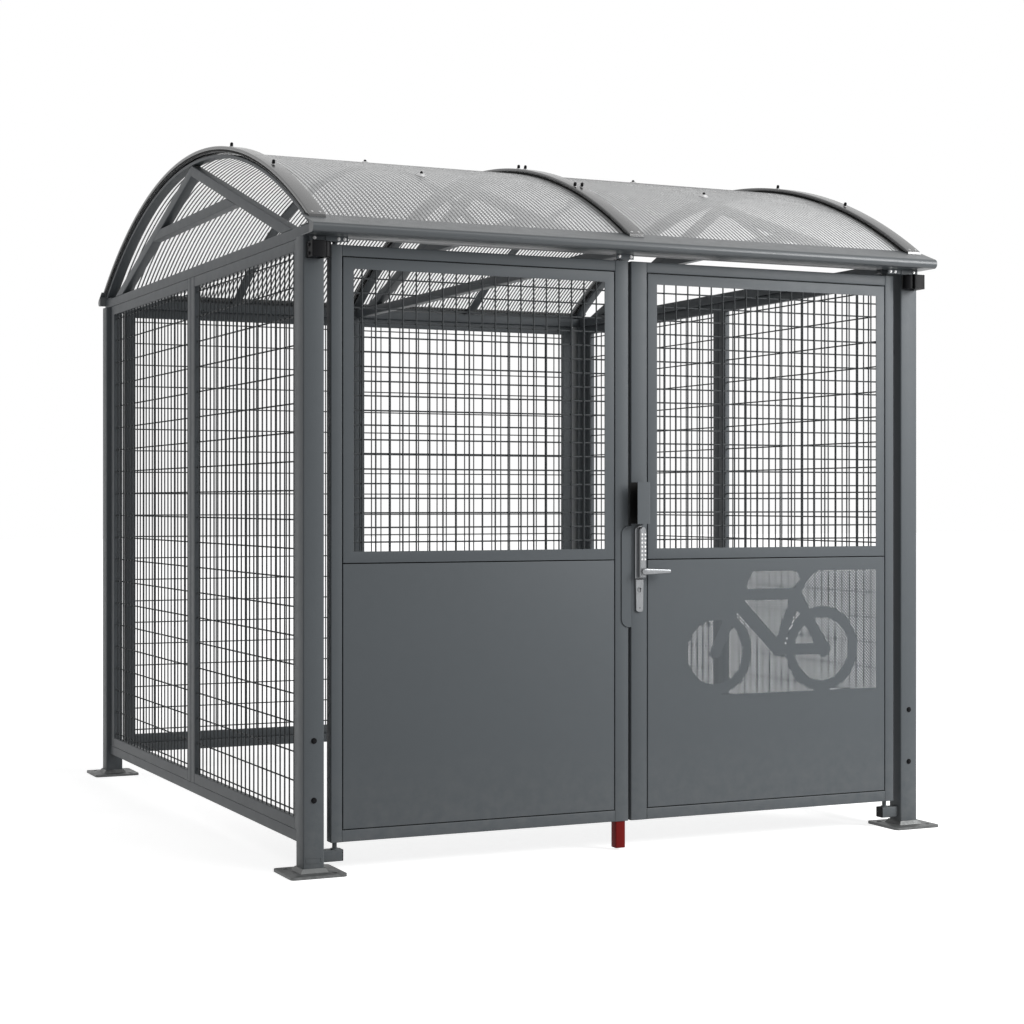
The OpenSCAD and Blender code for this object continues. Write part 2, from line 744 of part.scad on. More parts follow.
module lock_case() {
  rc = case_wide / 2;
  rb = base_wide / 2;
  color("#b9bcbe") placed() {
    difference() {
      union() {
        translate([lock_x, 0, case_low]) rotate([90, 0, 0]) linear_extrude(case_deep) {
          translate([-rc, 0]) square([case_wide, case_tall - rc]);
          translate([0, case_tall - rc]) circle(rc, $fn = 48);
        }
        translate([lock_x - base_aside, 0, case_low - 2]) rotate([90, 0, 0]) linear_extrude(base_deep) {
          translate([-rb, 0]) square([base_wide, case_tall + 6 - rb]);
          translate([0, case_tall + 6 - rb]) circle(rb, $fn = 48);
        }
      }
      translate([lock_x, -case_deep - 1, lever_z]) rotate([-90, 0, 0])
        cylinder(h = case_deep - 3, d = spindle + 2 * pin_fit, $fn = 32);
    }
    translate([lock_x - base_aside, 0, key_low]) rotate([90, 0, 0]) linear_extrude(key_thick) {
      translate([-key_wide / 2, 9]) square([key_wide, key_tall - 9]);
      translate([9 - key_wide / 2, 0]) square([key_wide - 18, 10]);
      for (s = [-1, 1]) translate([s * (key_wide / 2 - 9), 9]) circle(9, $fn = 32);
    }
  }
}

module lever_handle() {
  color("#b9bcbe") placed() translate([lock_x, lever_y, lever_z]) {
    rotate([90, 0, 0]) translate([0, 0, -lever_thick / 2]) linear_extrude(lever_thick) {
      circle(lever_tall / 2, $fn = 48);
      polygon([[0, -lever_tall / 2], [lever_long - lever_tip / 2, -lever_tip / 2],
        [lever_long - lever_tip / 2, lever_tip / 2], [0, lever_tall / 2]]);
      translate([lever_long - lever_tip / 2, 0]) circle(lever_tip / 2, $fn = 32);
    }
    rotate([-90, 0, 0]) cylinder(h = -lever_y - 6, d = spindle, $fn = 32);
  }
}

module drop_bolt() {
  color("#7a1518") placed() {
    translate([bolt_x - bolt_side / 2, bolt_y - bolt_side / 2, bolt_low]) cube([bolt_side, bolt_side, bolt_long]);
    translate([bolt_x, bolt_y, pin_z]) rotate([-90, 0, 0])
      cylinder(h = door_thick - bolt_y + 14, d = 8, $fn = 24);
  }
}

post_front_left();
post_front_right();
post_back_left();
post_back_right();
base_plates();
lower_rails();
eave_beams();
truss_left();
truss_middle();
truss_right();
arch_bars();
roof_sheet_left();
roof_sheet_right();
arch_covers();
gutter_front();
gutter_back();
frame_left();
frame_right();
frame_back();
mesh_left_front_low();
mesh_left_front_high();
mesh_left_back_low();
mesh_left_back_high();
mesh_right_front_low();
mesh_right_front_high();
mesh_right_back_low();
mesh_right_back_high();
mesh_back_left_low();
mesh_back_left_high();
mesh_back_right_low();
mesh_back_right_high();
head_blocks();
pivot_brackets();
door_left_frame();
door_left_sheets();
door_left_mesh();
guard_plate();
door_right_frame();
door_right_sheets();
door_right_mesh();
pull();
lock_case();
lever_handle();
drop_bolt();
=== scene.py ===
import math

import bmesh
import bpy
import numpy as np
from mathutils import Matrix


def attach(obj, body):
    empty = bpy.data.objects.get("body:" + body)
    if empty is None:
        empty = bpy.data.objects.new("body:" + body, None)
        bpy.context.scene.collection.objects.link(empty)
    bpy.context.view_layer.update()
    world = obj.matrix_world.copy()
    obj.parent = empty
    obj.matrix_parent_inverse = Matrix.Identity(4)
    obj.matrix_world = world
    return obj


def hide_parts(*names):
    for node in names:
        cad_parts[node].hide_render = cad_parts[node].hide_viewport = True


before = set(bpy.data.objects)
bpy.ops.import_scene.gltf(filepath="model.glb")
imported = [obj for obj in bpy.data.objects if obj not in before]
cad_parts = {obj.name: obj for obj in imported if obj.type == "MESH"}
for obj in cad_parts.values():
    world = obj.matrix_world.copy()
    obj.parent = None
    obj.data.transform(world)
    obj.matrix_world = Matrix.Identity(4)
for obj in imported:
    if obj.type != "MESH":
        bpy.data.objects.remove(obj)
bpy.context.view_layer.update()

# ---------------------------------------------------------------- sizes in millimetres
# X runs from the left posts' outer faces, Y from the front posts' front faces, Z from the ground
WIDTH, DEPTH = 2515.0, 2817.0
POST, POST_TOP, BEAM, FIT = 75.0, 2158.0, 40.0, 0.3
INSET = (POST - BEAM) / 2
TIE_TOP = POST_TOP + BEAM
SEAT_TOP = TIE_TOP + 4
HALF = DEPTH / 2
RISE, START = 401.6, 91.0
ARC_R = (HALF**2 + RISE**2) / (2 * RISE)
ARC_Z = POST_TOP + START + RISE - ARC_R
SEAL_R = ARC_R - 13
SHEET_R = SEAL_R - 7
ARCH_R = SHEET_R - 10 - FIT
ARCH_IN = ARCH_R - 13.4
NOSE_OUT, NOSE_R, TIP = 102.0, 18.0, 6.0
BACK_OUT, BACK_R, BACK_UP = 39.0, 16.0, 29.0
Y_MID = (-NOSE_OUT - NOSE_R + DEPTH + (200 - POST) / 2) / 2
NOSE_Z = POST_TOP - 3 + NOSE_R
TIP_Z = ARC_Z + math.sqrt(SHEET_R**2 - (HALF - TIP) ** 2) + 3
TRUSS_X = (POST / 2, WIDTH / 2, WIDTH - POST / 2)
COVER_X = (37.5, WIDTH / 2, WIDTH - 37.5)
WALL_LOW, WALL_HIGH = 137.8, POST_TOP - FIT
LEAF_LEFT, SIDE_SHIFT = POST + 24.5, 9.5
LEAF_W = (WIDTH - 2 * POST - 24.5 - 34 - 12) / 2
MEET_LEFT = LEAF_LEFT + LEAF_W
MEET_RIGHT = WIDTH - SIDE_SHIFT - MEET_LEFT
DOOR_LOW, DOOR_TOP = 105.0, POST_TOP - 26
INFILL_LOW, INFILL_TOP, SHEET_TOP = DOOR_LOW + 40, DOOR_TOP - 38, 1050.0
PIVOT_X, PIVOT_Y = LEAF_LEFT + 23, 30.0
LOCK_X, LEVER_Z = MEET_RIGHT + 30, 1008.0
BOLT_X, BOLT_Y = MEET_LEFT - 35, 22.5
RIB_PITCH, RIB_HALF = 16.6, 3.2
WIRE_R, WIRE_PITCH, WIRE_RISE, WIRE_LAYER, WIRE_INSET = 2.8, 50.0, 100.0, 4.6, 7.5
RAIL_LOW, RAIL_HIGH = 97.5, 137.5
# mesh frames: depth, stile, the back wall's middle stile, level bar, and the gap to a post
FRAME_DEEP, STILE, BACK_STILE, BAR, FRAME_GAP = 25, 50, 26, 40, 20


def place(points):
    """Points moved so that the shelter's footprint is centred on the origin, and turned from millimetres to metres."""
    return (np.asarray(points, float) - (WIDTH / 2, Y_MID, 0.0)) / 1000.0


# ---------------------------------------------------------------- surfaces
def build(name, parts, material, body, nodes=(), sharp=32.0, outward=True):
    """One mesh from (points, [face index arrays]) pairs, shaded smooth, with edges over `sharp` degrees kept crisp."""
    points, loops, starts, offset, length = [], [], [], 0, 0
    for v, groups in parts:
        for f in groups:
            f = np.atleast_2d(np.asarray(f, int))
            loops.append((f + offset).ravel())
            starts.append(length + f.shape[1] * np.arange(f.shape[0]))
            length += f.size
        points.append(np.asarray(v, float).reshape(-1, 3))
        offset += len(points[-1])
    mesh = bpy.data.meshes.new(name)
    mesh.vertices.add(offset)
    mesh.vertices.foreach_set("co", place(np.concatenate(points)).ravel())
    mesh.loops.add(length)
    mesh.loops.foreach_set("vertex_index", np.concatenate(loops))
    starts = np.concatenate(starts)
    mesh.polygons.add(len(starts))
    mesh.polygons.foreach_set("loop_start", starts)
    mesh.update(calc_edges=True)
    mesh.validate()
    if outward:
        bm = bmesh.new()
        bm.from_mesh(mesh)
        bmesh.ops.recalc_face_normals(bm, faces=bm.faces)
        bm.to_mesh(mesh)
        bm.free()
    mesh.polygons.foreach_set("use_smooth", np.ones(len(mesh.polygons), bool))
    mesh.set_sharp_from_angle(angle=math.radians(sharp))
    mesh.materials.append(material)
    piece = bpy.data.objects.new(name, mesh)
    bpy.context.scene.collection.objects.link(piece)
    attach(piece, body)
    if nodes:
        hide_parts(*nodes)
    return piece


def loft(rings, caps=True, round_trip=False):
    """Surface through rings[i, j]: quads join each ring to the next, and a flat cap shuts each end. With round_trip the
    last ring joins the first."""
    rings = np.asarray(rings, float)
    m, k = rings.shape[:2]
    j = np.arange(k)
    i = np.arange(m if round_trip else m - 1)[:, None]
    a, c = i * k + j, i * k + (j + 1) % k
    up = ((i + 1) % m) * k
    quads = np.stack([a, c, up + (j + 1) % k, up + j], -1).reshape(-1, 4)
    faces = [quads]
    if caps and not round_trip:
        faces += [np.arange(k)[::-1][None], np.arange(k)[None] + (m - 1) * k]
    return rings.reshape(-1, 3), faces


def rounded(w, h, r, n=3, inset=0.0):
    """Outline of a w by h rectangle about the origin, each corner a quarter circle of radius r in n steps."""
    t = np.linspace(0, math.pi / 2, n + 1)
    ra = max(r - inset, 0.01)
    out = []
    for q, (sx, sy) in enumerate([(1, 1), (-1, 1), (-1, -1), (1, -1)]):
        a = t + q * math.pi / 2
        out.append(np.stack([sx * (w / 2 - r) + ra * np.cos(a), sy * (h / 2 - r) + ra * np.sin(a)], -1))
    return np.concatenate(out)


def bar(p0, p1, side, w, h, r=3.0, cut0=0.0, cut1=0.0, ease=0.8, n=3):
    """Straight bar of rounded section from p0 to p1, w along `side` and h across it. Its end faces lean by the slopes
    cut0 and cut1 along h, and their rims are eased."""
    p0, p1, side = (np.asarray(v, float) for v in (p0, p1, side))
    d = (p1 - p0) / np.linalg.norm(p1 - p0)
    t = np.cross(d, side)
    rings = []
    for p, cut, along, inset in ((p0, cut0, 0, ease), (p0, cut0, ease, 0), (p1, cut1, -ease, 0), (p1, cut1, 0, ease)):
        o = rounded(w, h, r, n, inset)
        rings.append(p + o[:, :1] * side + o[:, 1:] * t + d * (along + cut * o[:, 1:]))
    return loft(rings)


def upright(x0, x1, y0, y1, z0, z1, r=3.0):
    """Rounded bar standing in the box."""
    x, y = (x0 + x1) / 2, (y0 + y1) / 2
    return bar((x, y, z0), (x, y, z1), (1, 0, 0), x1 - x0, y1 - y0, r)


def along_x(x0, x1, y0, y1, z0, z1, r=3.0):
    """Rounded bar lying along X in the box."""
    y, z = (y0 + y1) / 2, (z0 + z1) / 2
    return bar((x0, y, z), (x1, y, z), (0, 1, 0), y1 - y0, z1 - z0, r)


def along_y(x0, x1, y0, y1, z0, z1, r=3.0):
    """Rounded bar lying along Y in the box."""
    x, z = (x0 + x1) / 2, (z0 + z1) / 2
    return bar((x, y0, z), (x, y1, z), (1, 0, 0), x1 - x0, z1 - z0, r)


def rods(starts, ends, radius, sides=10):
    """Round straight rods from each start to its end, all in one array: start + radius (cos a s + sin a t), where s and
    t stand square to the rod."""
    starts, ends = np.atleast_2d(starts).astype(float), np.atleast_2d(ends).astype(float)
    d = ends - starts
    d /= np.linalg.norm(d, axis=1)[:, None]
    s = np.cross(d, np.where(np.abs(d[:, 2:]) > 0.9, [[1.0, 0, 0]], [[0, 0, 1.0]]))
    s /= np.linalg.norm(s, axis=1)[:, None]
    t = np.cross(d, s)
    a = np.arange(sides) * 2 * math.pi / sides
    ring = radius * (np.cos(a)[None, :, None] * s[:, None] + np.sin(a)[None, :, None] * t[:, None])
    v = np.stack([starts[:, None] + ring, ends[:, None] + ring], 1)
    j = np.arange(sides)
    base = np.arange(len(starts))[:, None] * 2 * sides
    quads = np.stack([base + j, base + (j + 1) % sides, base + (j + 1) % sides + sides, base + j + sides], -1)
    return v.reshape(-1, 3), [quads.reshape(-1, 4), np.concatenate([base + j[::-1], base + j + sides])]


def turned(p, axis, profile, sides=24, phase=0.0):
    """Surface of revolution about `axis` through p; the profile is (radius, distance along the axis) pairs."""
    p, axis = np.asarray(p, float), np.asarray(axis, float)
    axis = axis / np.linalg.norm(axis)
    s = np.cross(axis, (0, 0, 1.0) if abs(axis[2]) < 0.9 else (1.0, 0, 0))
    s /= np.linalg.norm(s)
    t = np.cross(axis, s)
    a = np.arange(sides) * 2 * math.pi / sides + phase
    circle = np.cos(a)[:, None] * s + np.sin(a)[:, None] * t
    return loft([p + r * circle + h * axis for r, h in profile])


def hex_bolt(p, axis, r=8.0, h=6.0, washer=12.0):
    """Hexagon head with an eased rim, on a round washer."""
    return [
        turned(p, axis, [(washer, 0), (washer, 1.4), (washer - 0.6, 1.9)]),
        turned(p, axis, [(r, 1.9), (r, h - 1), (r * 0.86, h)], 6, 0.3),
    ]


def eased_plate(outline, y_back, y_front, rim=1.0):
    """Plate standing in the X-Z plane: its outline carried from y_back to y_front, the front rim drawn in by `rim`."""
    outline = np.asarray(outline, float)
    mid = outline.mean(0)
    reach = np.abs(outline - mid).max(0)
    small = mid + (outline - mid) * (1 - rim / reach)
    rings = []
    for o, y in ((outline, y_back), (outline, y_front + rim), (small, y_front)):
        rings.append(np.stack([o[:, 0], np.full(len(o), y), o[:, 1]], -1))
    return loft(rings)


def arch(profile, y0, y1, n=72, floor=None, lift=False):
    """Closed profile of (x, radius) pairs carried round the roof's arc from plane y0 to plane y1: y = half + r sin a,
    z = centre + r cos a. It stops at height `floor`, and with `lift` it stays above the eaves' flanges."""
    profile = np.asarray(profile, float)
    t = np.linspace(0, 1, n + 1)[:, None]
    x, r = profile[:, 0], profile[:, 1]
    a0, a1 = np.arcsin((y0 - HALF) / r), np.arcsin((y1 - HALF) / r)
    if floor is not None:
        low = np.arccos(np.clip((floor - ARC_Z) / r, -1, 1))
        a0, a1 = np.maximum(a0, -low), np.minimum(a1, low)
    a = a0 + (a1 - a0) * t
    y, z = HALF + r * np.sin(a), ARC_Z + r * np.cos(a)
    if lift:
        z = np.maximum(z, np.where(y < TIP, flange_line(-NOSE_OUT, NOSE_Z, NOSE_R, y) + FIT, 0))
        back = flange_line(-BACK_OUT, POST_TOP + BACK_UP, BACK_R, DEPTH - y) + FIT
        z = np.maximum(z, np.where(y > DEPTH - TIP, back, 0))
    return loft(np.stack([np.broadcast_to(x, a.shape), y, z], -1))


def flange_angle(y, z, r):
    """Slope of an eave's flange: the line from the tip that touches the nose's circle."""
    gap = math.hypot(TIP_Z - z, TIP - y)
    return math.atan2(TIP_Z - z, TIP - y) - math.asin(r / gap)


def flange_line(y, z, r, at):
    """Height of an eave flange's upper face over `at`."""
    a = flange_angle(y, z, r)
    return z + r / math.cos(a) + (np.asarray(at) - y) * math.tan(a)


def mirrored(parts, about=WIDTH):
    """The same parts with left and right changed over."""
    return [(np.asarray(v, float).reshape(-1, 3) * (-1, 1, 1) + (about, 0, 0), f) for v, f in parts]


def rect_rings(x0, x1, z0, z1, profile):
    """Rectangles standing in the X-Z plane, drawn in by each inset and set back to each y of the profile."""
    i, y = np.asarray(profile, float).T
    corners = np.stack(
        [
            np.stack([x0 + i, y, z0 + i], -1),
            np.stack([x1 - i, y, z0 + i], -1),
            np.stack([x1 - i, y, z1 - i], -1),
            np.stack([x0 + i, y, z1 - i], -1),
        ],
        1,
    )
    return corners


def bend(r, n=4):
    """Quarter circle from (0, r) to (r, 0), as (inset, y) pairs."""
    a = np.linspace(0, math.pi / 2, n + 1)
    return [(r - r * math.cos(t), r - r * math.sin(t)) for t in a]


# ---------------------------------------------------------------- finishes
def add(tree, kind, inputs=None, **settings):
    """Adds a shader node, sets its properties, and links or sets its inputs."""
    n = tree.nodes.new(kind)
    for key, value in settings.items():
        setattr(n, key, value)
    for key, value in (inputs or {}).items():
        if isinstance(value, bpy.types.NodeSocket):
            tree.links.new(value, n.inputs[key])
        else:
            n.inputs[key].default_value = value
    return n


def calc(tree, op, a, b=0.0, c=0.0, clamp=False):
    """Math node's output."""
    return add(tree, "ShaderNodeMath", {0: a, 1: b, 2: c}, operation=op, use_clamp=clamp).outputs[0]


def blend(tree, factor, a, b):
    """Colour between a and b."""
    return add(tree, "ShaderNodeMix", {0: factor, 6: a, 7: b}, data_type="RGBA").outputs[2]


def spread(tree, value, low, high, to_low=0.0, to_high=1.0):
    """Value from low..high mapped to to_low..to_high, held at the ends."""
    return add(
        tree,
        "ShaderNodeMapRange",
        {"Value": value, "From Min": low, "From Max": high, "To Min": to_low, "To Max": to_high},
    ).outputs[0]


def noise(tree, scale, detail=3.0, rough=0.5, vector=None):
    """Noise over the object's own coordinates."""
    vector = vector or add(tree, "ShaderNodeTexCoord").outputs["Object"]
    inputs = {"Vector": vector, "Scale": scale, "Detail": detail, "Roughness": rough}
    return add(tree, "ShaderNodeTexNoise", inputs).outputs[0]


def new_group(name, ins, outs):
    """Empty node group with named sockets; gives the tree, its inputs' node and its outputs' node."""
    tree = bpy.data.node_groups.new(name, "ShaderNodeTree")
    for label, kind, value in ins:
        tree.interface.new_socket(label, in_out="INPUT", socket_type=kind).default_value = value
    for label, kind in outs:
        tree.interface.new_socket(label, in_out="OUTPUT", socket_type=kind)
    return tree, tree.nodes.new("NodeGroupInput").outputs, tree.nodes.new("NodeGroupOutput").inputs


def powder_coat():
    """Powder coat: broad clouds in the colour, uneven gloss, a fine orange peel, and dust near the ground and on faces
    that look up."""
    tree, ins, outs = new_group(
        "powder_coat",
        [
            ("Color", "NodeSocketColor", (0.1, 0.1, 0.1, 1)),
            ("Roughness", "NodeSocketFloat", 0.4),
            ("Clouds", "NodeSocketFloat", 0.1),
            ("Dust", "NodeSocketFloat", 0.15),
        ],
        [("Color", "NodeSocketColor"), ("Roughness", "NodeSocketFloat"), ("Height", "NodeSocketFloat")],
    )
    cloud = noise(tree, 1.6, 4.0, 0.55)
    smear = noise(tree, 24.0, 5.0, 0.6)
    shade = calc(tree, "MULTIPLY_ADD", calc(tree, "SUBTRACT", cloud, 0.5), ins["Clouds"], 1.0)
    fine = calc(tree, "SUBTRACT", smear, 0.5)
    shade = calc(tree, "MULTIPLY_ADD", fine, calc(tree, "MULTIPLY", ins["Clouds"], 0.7), shade)
    base = add(tree, "ShaderNodeVectorMath", {0: ins["Color"], 3: shade}, operation="SCALE").outputs[0]
    z = add(tree, "ShaderNodeSeparateXYZ", {0: add(tree, "ShaderNodeTexCoord").outputs["Object"]}).outputs[2]
    low = spread(tree, z, 0.0, 0.4, 0.8, 0.0)
    up = add(tree, "ShaderNodeSeparateXYZ", {0: add(tree, "ShaderNodeNewGeometry").outputs["Normal"]}).outputs[2]
    dust = calc(tree, "MULTIPLY", calc(tree, "ADD", low, spread(tree, up, 0.6, 1.0), clamp=True), ins["Dust"])
    dust = calc(tree, "MULTIPLY", dust, spread(tree, smear, 0.3, 0.75), clamp=True)
    tree.links.new(blend(tree, dust, base, (0.36, 0.35, 0.33, 1)), outs["Color"])
    rough = calc(tree, "MULTIPLY_ADD", calc(tree, "SUBTRACT", smear, 0.5), 0.18, ins["Roughness"])
    tree.links.new(calc(tree, "MULTIPLY_ADD", dust, 0.4, rough, clamp=True), outs["Roughness"])
    tree.links.new(noise(tree, 460.0, 2.0), outs["Height"])
    return tree


def spangle():
    """Hot-dip zinc: crystal patches of different greys with fine frost between them, and dull rain marks."""
    tree, ins, outs = new_group(
        "zinc_spangle",
        [("Color", "NodeSocketColor", (0.5, 0.5, 0.5, 1)), ("Size", "NodeSocketFloat", 90.0)],
        [("Color", "NodeSocketColor"), ("Roughness", "NodeSocketFloat"), ("Height", "NodeSocketFloat")],
    )
    where = add(tree, "ShaderNodeTexCoord").outputs["Object"]
    cells = add(tree, "ShaderNodeTexVoronoi", {"Vector": where, "Scale": ins["Size"], "Randomness": 1.0})
    grey = add(tree, "ShaderNodeSeparateXYZ", {0: cells.outputs["Color"]}).outputs[0]
    stain = noise(tree, 9.0, 5.0, 0.6)
    shade = calc(tree, "MULTIPLY_ADD", grey, 0.35, 0.72)
    shade = calc(tree, "MULTIPLY_ADD", stain, 0.3, calc(tree, "SUBTRACT", shade, 0.1))
    base = add(tree, "ShaderNodeVectorMath", {0: ins["Color"], 3: shade}, operation="SCALE").outputs[0]
    tree.links.new(base, outs["Color"])
    tree.links.new(calc(tree, "MULTIPLY_ADD", grey, 0.2, spread(tree, stain, 0.3, 0.7, 0.3, 0.5)), outs["Roughness"])
    tree.links.new(calc(tree, "ADD", cells.outputs["Distance"], noise(tree, 300.0)), outs["Height"])
    return tree


def finish(name, inputs, effect=None, values=None, bump=None, extra=None):
    """Material: constants set on the shader, an effect group feeding colour, roughness and bump. bump is the pair
    (strength, distance in metres)."""
    mat = bpy.data.materials.new(name)
    mat.use_nodes = True
    tree = mat.node_tree
    shader = next(n for n in tree.nodes if n.type == "BSDF_PRINCIPLED")
    for key, value in inputs.items():
        shader.inputs[key].default_value = value
    if effect:
        g = add(tree, "ShaderNodeGroup", node_tree=effect)
        for key, value in (values or {}).items():
            g.inputs[key].default_value = value
        tree.links.new(g.outputs["Color"], shader.inputs["Base Color"])
        tree.links.new(g.outputs["Roughness"], shader.inputs["Roughness"])
        if bump:
            b = add(tree, "ShaderNodeBump", {"Height": g.outputs["Height"], "Strength": bump[0], "Distance": bump[1]})
            tree.links.new(b.outputs[0], shader.inputs["Normal"])
    if extra:
        extra(tree, shader)
    return mat


COAT = powder_coat()
ZINC = spangle()


def coat(name, color, rough=0.42, clouds=0.1, dust=0.15, **inputs):
    """Powder-coated steel of one colour."""
    values = {"Color": (*color, 1), "Roughness": rough, "Clouds": clouds, "Dust": dust}
    return finish(name, inputs, COAT, values, (0.25, 0.0004))


SOFT = {"Specular IOR Level": 0.22}
DULL = {"Specular IOR Level": 0.1}
anthracite = coat("anthracite_coat", (0.084, 0.094, 0.102), 0.45, **SOFT)
gutter_coat = coat("gutter_coat", (0.07, 0.078, 0.084), 0.32, **{"Specular IOR Level": 0.4})
wire_coat = coat("wire_coat", (0.032, 0.036, 0.039), 0.5, **SOFT)
cover_coat = coat("cover_coat", (0.06, 0.061, 0.062), 0.2, 0.15, 0.1, **{"Specular IOR Level": 0.9})
red_coat = coat("red_coat", (0.155, 0.008, 0.007), 0.45, 0.2, 0.0, **DULL)
block_black = coat("block_black", (0.005, 0.005, 0.006), 0.45, 0.15, 0.01, **DULL)
# black of the cover seals; the same black is painted shade in the door seams, inside the pull and in the keyhole
seal_and_shade_black = coat("seal_and_shade_black", (0.004, 0.004, 0.004), 0.6, 0.2, 0.01, **DULL)
zinc = finish("hot_dip_zinc", {"Metallic": 0.6}, ZINC, {"Color": (0.13, 0.134, 0.134, 1), "Size": 90.0}, (0.15, 0.0005))
bright = {"Color": (0.55, 0.55, 0.55, 1), "Size": 500.0}
bright_zinc = finish("bright_zinc", {"Metallic": 1.0}, ZINC, bright, (0.1, 0.0002))


def brushed(tree, shader):
    """Fine straight brushing: noise drawn out along Z in the gloss and the bump."""
    where = add(tree, "ShaderNodeTexCoord").outputs["Object"]
    long = add(tree, "ShaderNodeMapping", {"Vector": where, "Scale": (1.0, 1.0, 0.04)}).outputs[0]
    lines = noise(tree, 900.0, 3.0, 0.6, long)
    tree.links.new(spread(tree, lines, 0.3, 0.7, 0.24, 0.42), shader.inputs["Roughness"])
    b = add(tree, "ShaderNodeBump", {"Height": lines, "Strength": 0.12, "Distance": 0.0002})
    tree.links.new(b.outputs[0], shader.inputs["Normal"])
    tree.links.new(blend(tree, lines, (0.17, 0.176, 0.184, 1), (0.28, 0.287, 0.294, 1)), shader.inputs["Base Color"])


satin = finish("satin_steel", {"Metallic": 1.0}, extra=brushed)


def clear_skin(tree, shader):
    """Clear ribbed sheet: slightly milky, with rain dust in soft patches. On its outer face, where that looks up, it
    carries a
    painted sheen: at a low angle it turns opaque in its pale colour in place of the sky's reflection, so that little is
    seen through it there."""
    film = noise(tree, 5.0, 5.0, 0.6)
    face = add(tree, "ShaderNodeNewGeometry").outputs
    up = add(tree, "ShaderNodeSeparateXYZ", {0: face["Normal"]}).outputs[2]
    # painted sheen: outer faces that look up turn opaque in the pale base colour at low angles, standing for the sky's
    # reflection
    outside = calc(tree, "MULTIPLY", spread(tree, up, 0.0, 0.1), calc(tree, "SUBTRACT", 1.0, face["Backfacing"]))
    low = calc(tree, "POWER", add(tree, "ShaderNodeLayerWeight", {"Blend": 0.5}).outputs["Facing"], 1.5)
    painted_sheen = calc(tree, "MULTIPLY", calc(tree, "MULTIPLY", low, outside), 0.9)
    milk = spread(tree, film, 0.3, 0.75, 0.05, 0.09)
    tree.links.new(calc(tree, "ADD", painted_sheen, milk, clamp=True), shader.inputs["Alpha"])
    tree.links.new(spread(tree, film, 0.3, 0.7, 0.16, 0.34), shader.inputs["Roughness"])
    tree.links.new(blend(tree, film, (0.72, 0.73, 0.735, 1), (0.84, 0.85, 0.85, 1)), shader.inputs["Base Color"])


def rib_shade(tree, shader):
    """Ribs in a dark grey, a little uneven."""
    film = noise(tree, 12.0, 4.0, 0.6)
    tree.links.new(blend(tree, film, (0.095, 0.097, 0.1, 1), (0.14, 0.142, 0.145, 1)), shader.inputs["Base Color"])
    tree.links.new(spread(tree, film, 0.3, 0.7, 0.25, 0.4), shader.inputs["Roughness"])


clear_sheet = finish("clear_sheet", {"IOR": 1.45}, extra=clear_skin)
dark_grey_rib = finish("dark_grey_rib", {"Specular IOR Level": 0.5}, extra=rib_shade)

# ---------------------------------------------------------------- posts, plates and beams
for side, x in (("left", 0.0), ("right", WIDTH - POST)):
    for end, y in (("front", 0.0), ("back", DEPTH - POST)):
        post = upright(x, x + POST, y, y + POST, 10.3, POST_TOP, 5.0)
        node = "post_%s_%s" % (end, side)
        build(node + "_tube", [post], anthracite, "shelter", [node])

build(
    "lower_rail_tubes",
    [
        along_y(INSET, INSET + BEAM, POST + FIT, DEPTH - POST - FIT, RAIL_LOW, RAIL_HIGH),
        along_y(WIDTH - INSET - BEAM, WIDTH - INSET, POST + FIT, DEPTH - POST - FIT, RAIL_LOW, RAIL_HIGH),
        along_x(POST + FIT, WIDTH - POST - FIT, DEPTH - INSET - BEAM, DEPTH - INSET, RAIL_LOW, RAIL_HIGH),
    ],
    anthracite,
    "shelter",
    ["lower_rails"],
)
inner = INSET + BEAM + FIT
build(
    "eave_beam_tubes",
    [
        along_x(inner, WIDTH - inner, INSET, INSET + BEAM, POST_TOP, TIE_TOP),
        along_x(inner, WIDTH - inner, DEPTH - INSET - BEAM, DEPTH - INSET, POST_TOP, TIE_TOP),
    ],
    anthracite,
    "shelter",
    ["eave_beams"],
)

# ---------------------------------------------------------------- trusses and roof
rafter_start = 165.0
rafter_rise = ARC_Z + ARCH_IN - FIT - TIE_TOP
lean = math.atan2(rafter_rise, HALF - rafter_start)
sin_l, cos_l, tan_l = math.sin(lean), math.cos(lean), math.tan(lean)


def truss(x, y0, y1):
    """Truss in the plane x: tie, two rafters cut level at the foot and upright at the crown, and a level collar."""
    s0 = (FIT + BEAM / 2 * cos_l) / sin_l
    s1 = (HALF - FIT - rafter_start - BEAM / 2 * sin_l) / cos_l
    p0, p1 = (
        (x, rafter_start + BEAM / 2 * sin_l + s * cos_l, TIE_TOP - BEAM / 2 * cos_l + s * sin_l) for s in (s0, s1)
    )
    rafter = bar(p0, p1, (1, 0, 0), BEAM, BEAM, 3.5, 1 / tan_l, -tan_l)
    flip = (np.asarray(rafter[0]) * (1, -1, 1) + (0, DEPTH, 0), rafter[1])
    up = 174 + BEAM / 2
    face = rafter_start + up / tan_l + (BEAM + FIT) / sin_l
    ends = (x, face, TIE_TOP + up), (x, DEPTH - face, TIE_TOP + up)
    collar = bar(*ends, (1, 0, 0), BEAM, BEAM, 3.5, -1 / tan_l, 1 / tan_l)
    seats = [
        upright(x - 20, x + 20, y, y + 110, TIE_TOP + FIT, SEAT_TOP, 1.5) for y in (-24.0, DEPTH + 20 - 110)
    ]
    return [along_y(x - 20, x + 20, y0, y1, POST_TOP, TIE_TOP, 3.5), rafter, flip, collar] + seats


tie_ends = ((-74.0, DEPTH + 20), (inner, DEPTH - inner), (-74.0, DEPTH + 20))
for name, x, (y0, y1) in zip(("left", "middle", "right"), TRUSS_X, tie_ends):
    build("truss_%s_tubes" % name, truss(x, y0, y1), anthracite, "shelter", ["truss_" + name])


def slab(x0, x1, r0, r1, corner):
    """Section of a curved bar between two radii, as (x, radius) pairs with round corners."""
    return rounded(x1 - x0, r1 - r0, corner) + ((x0 + x1) / 2, (r0 + r1) / 2)


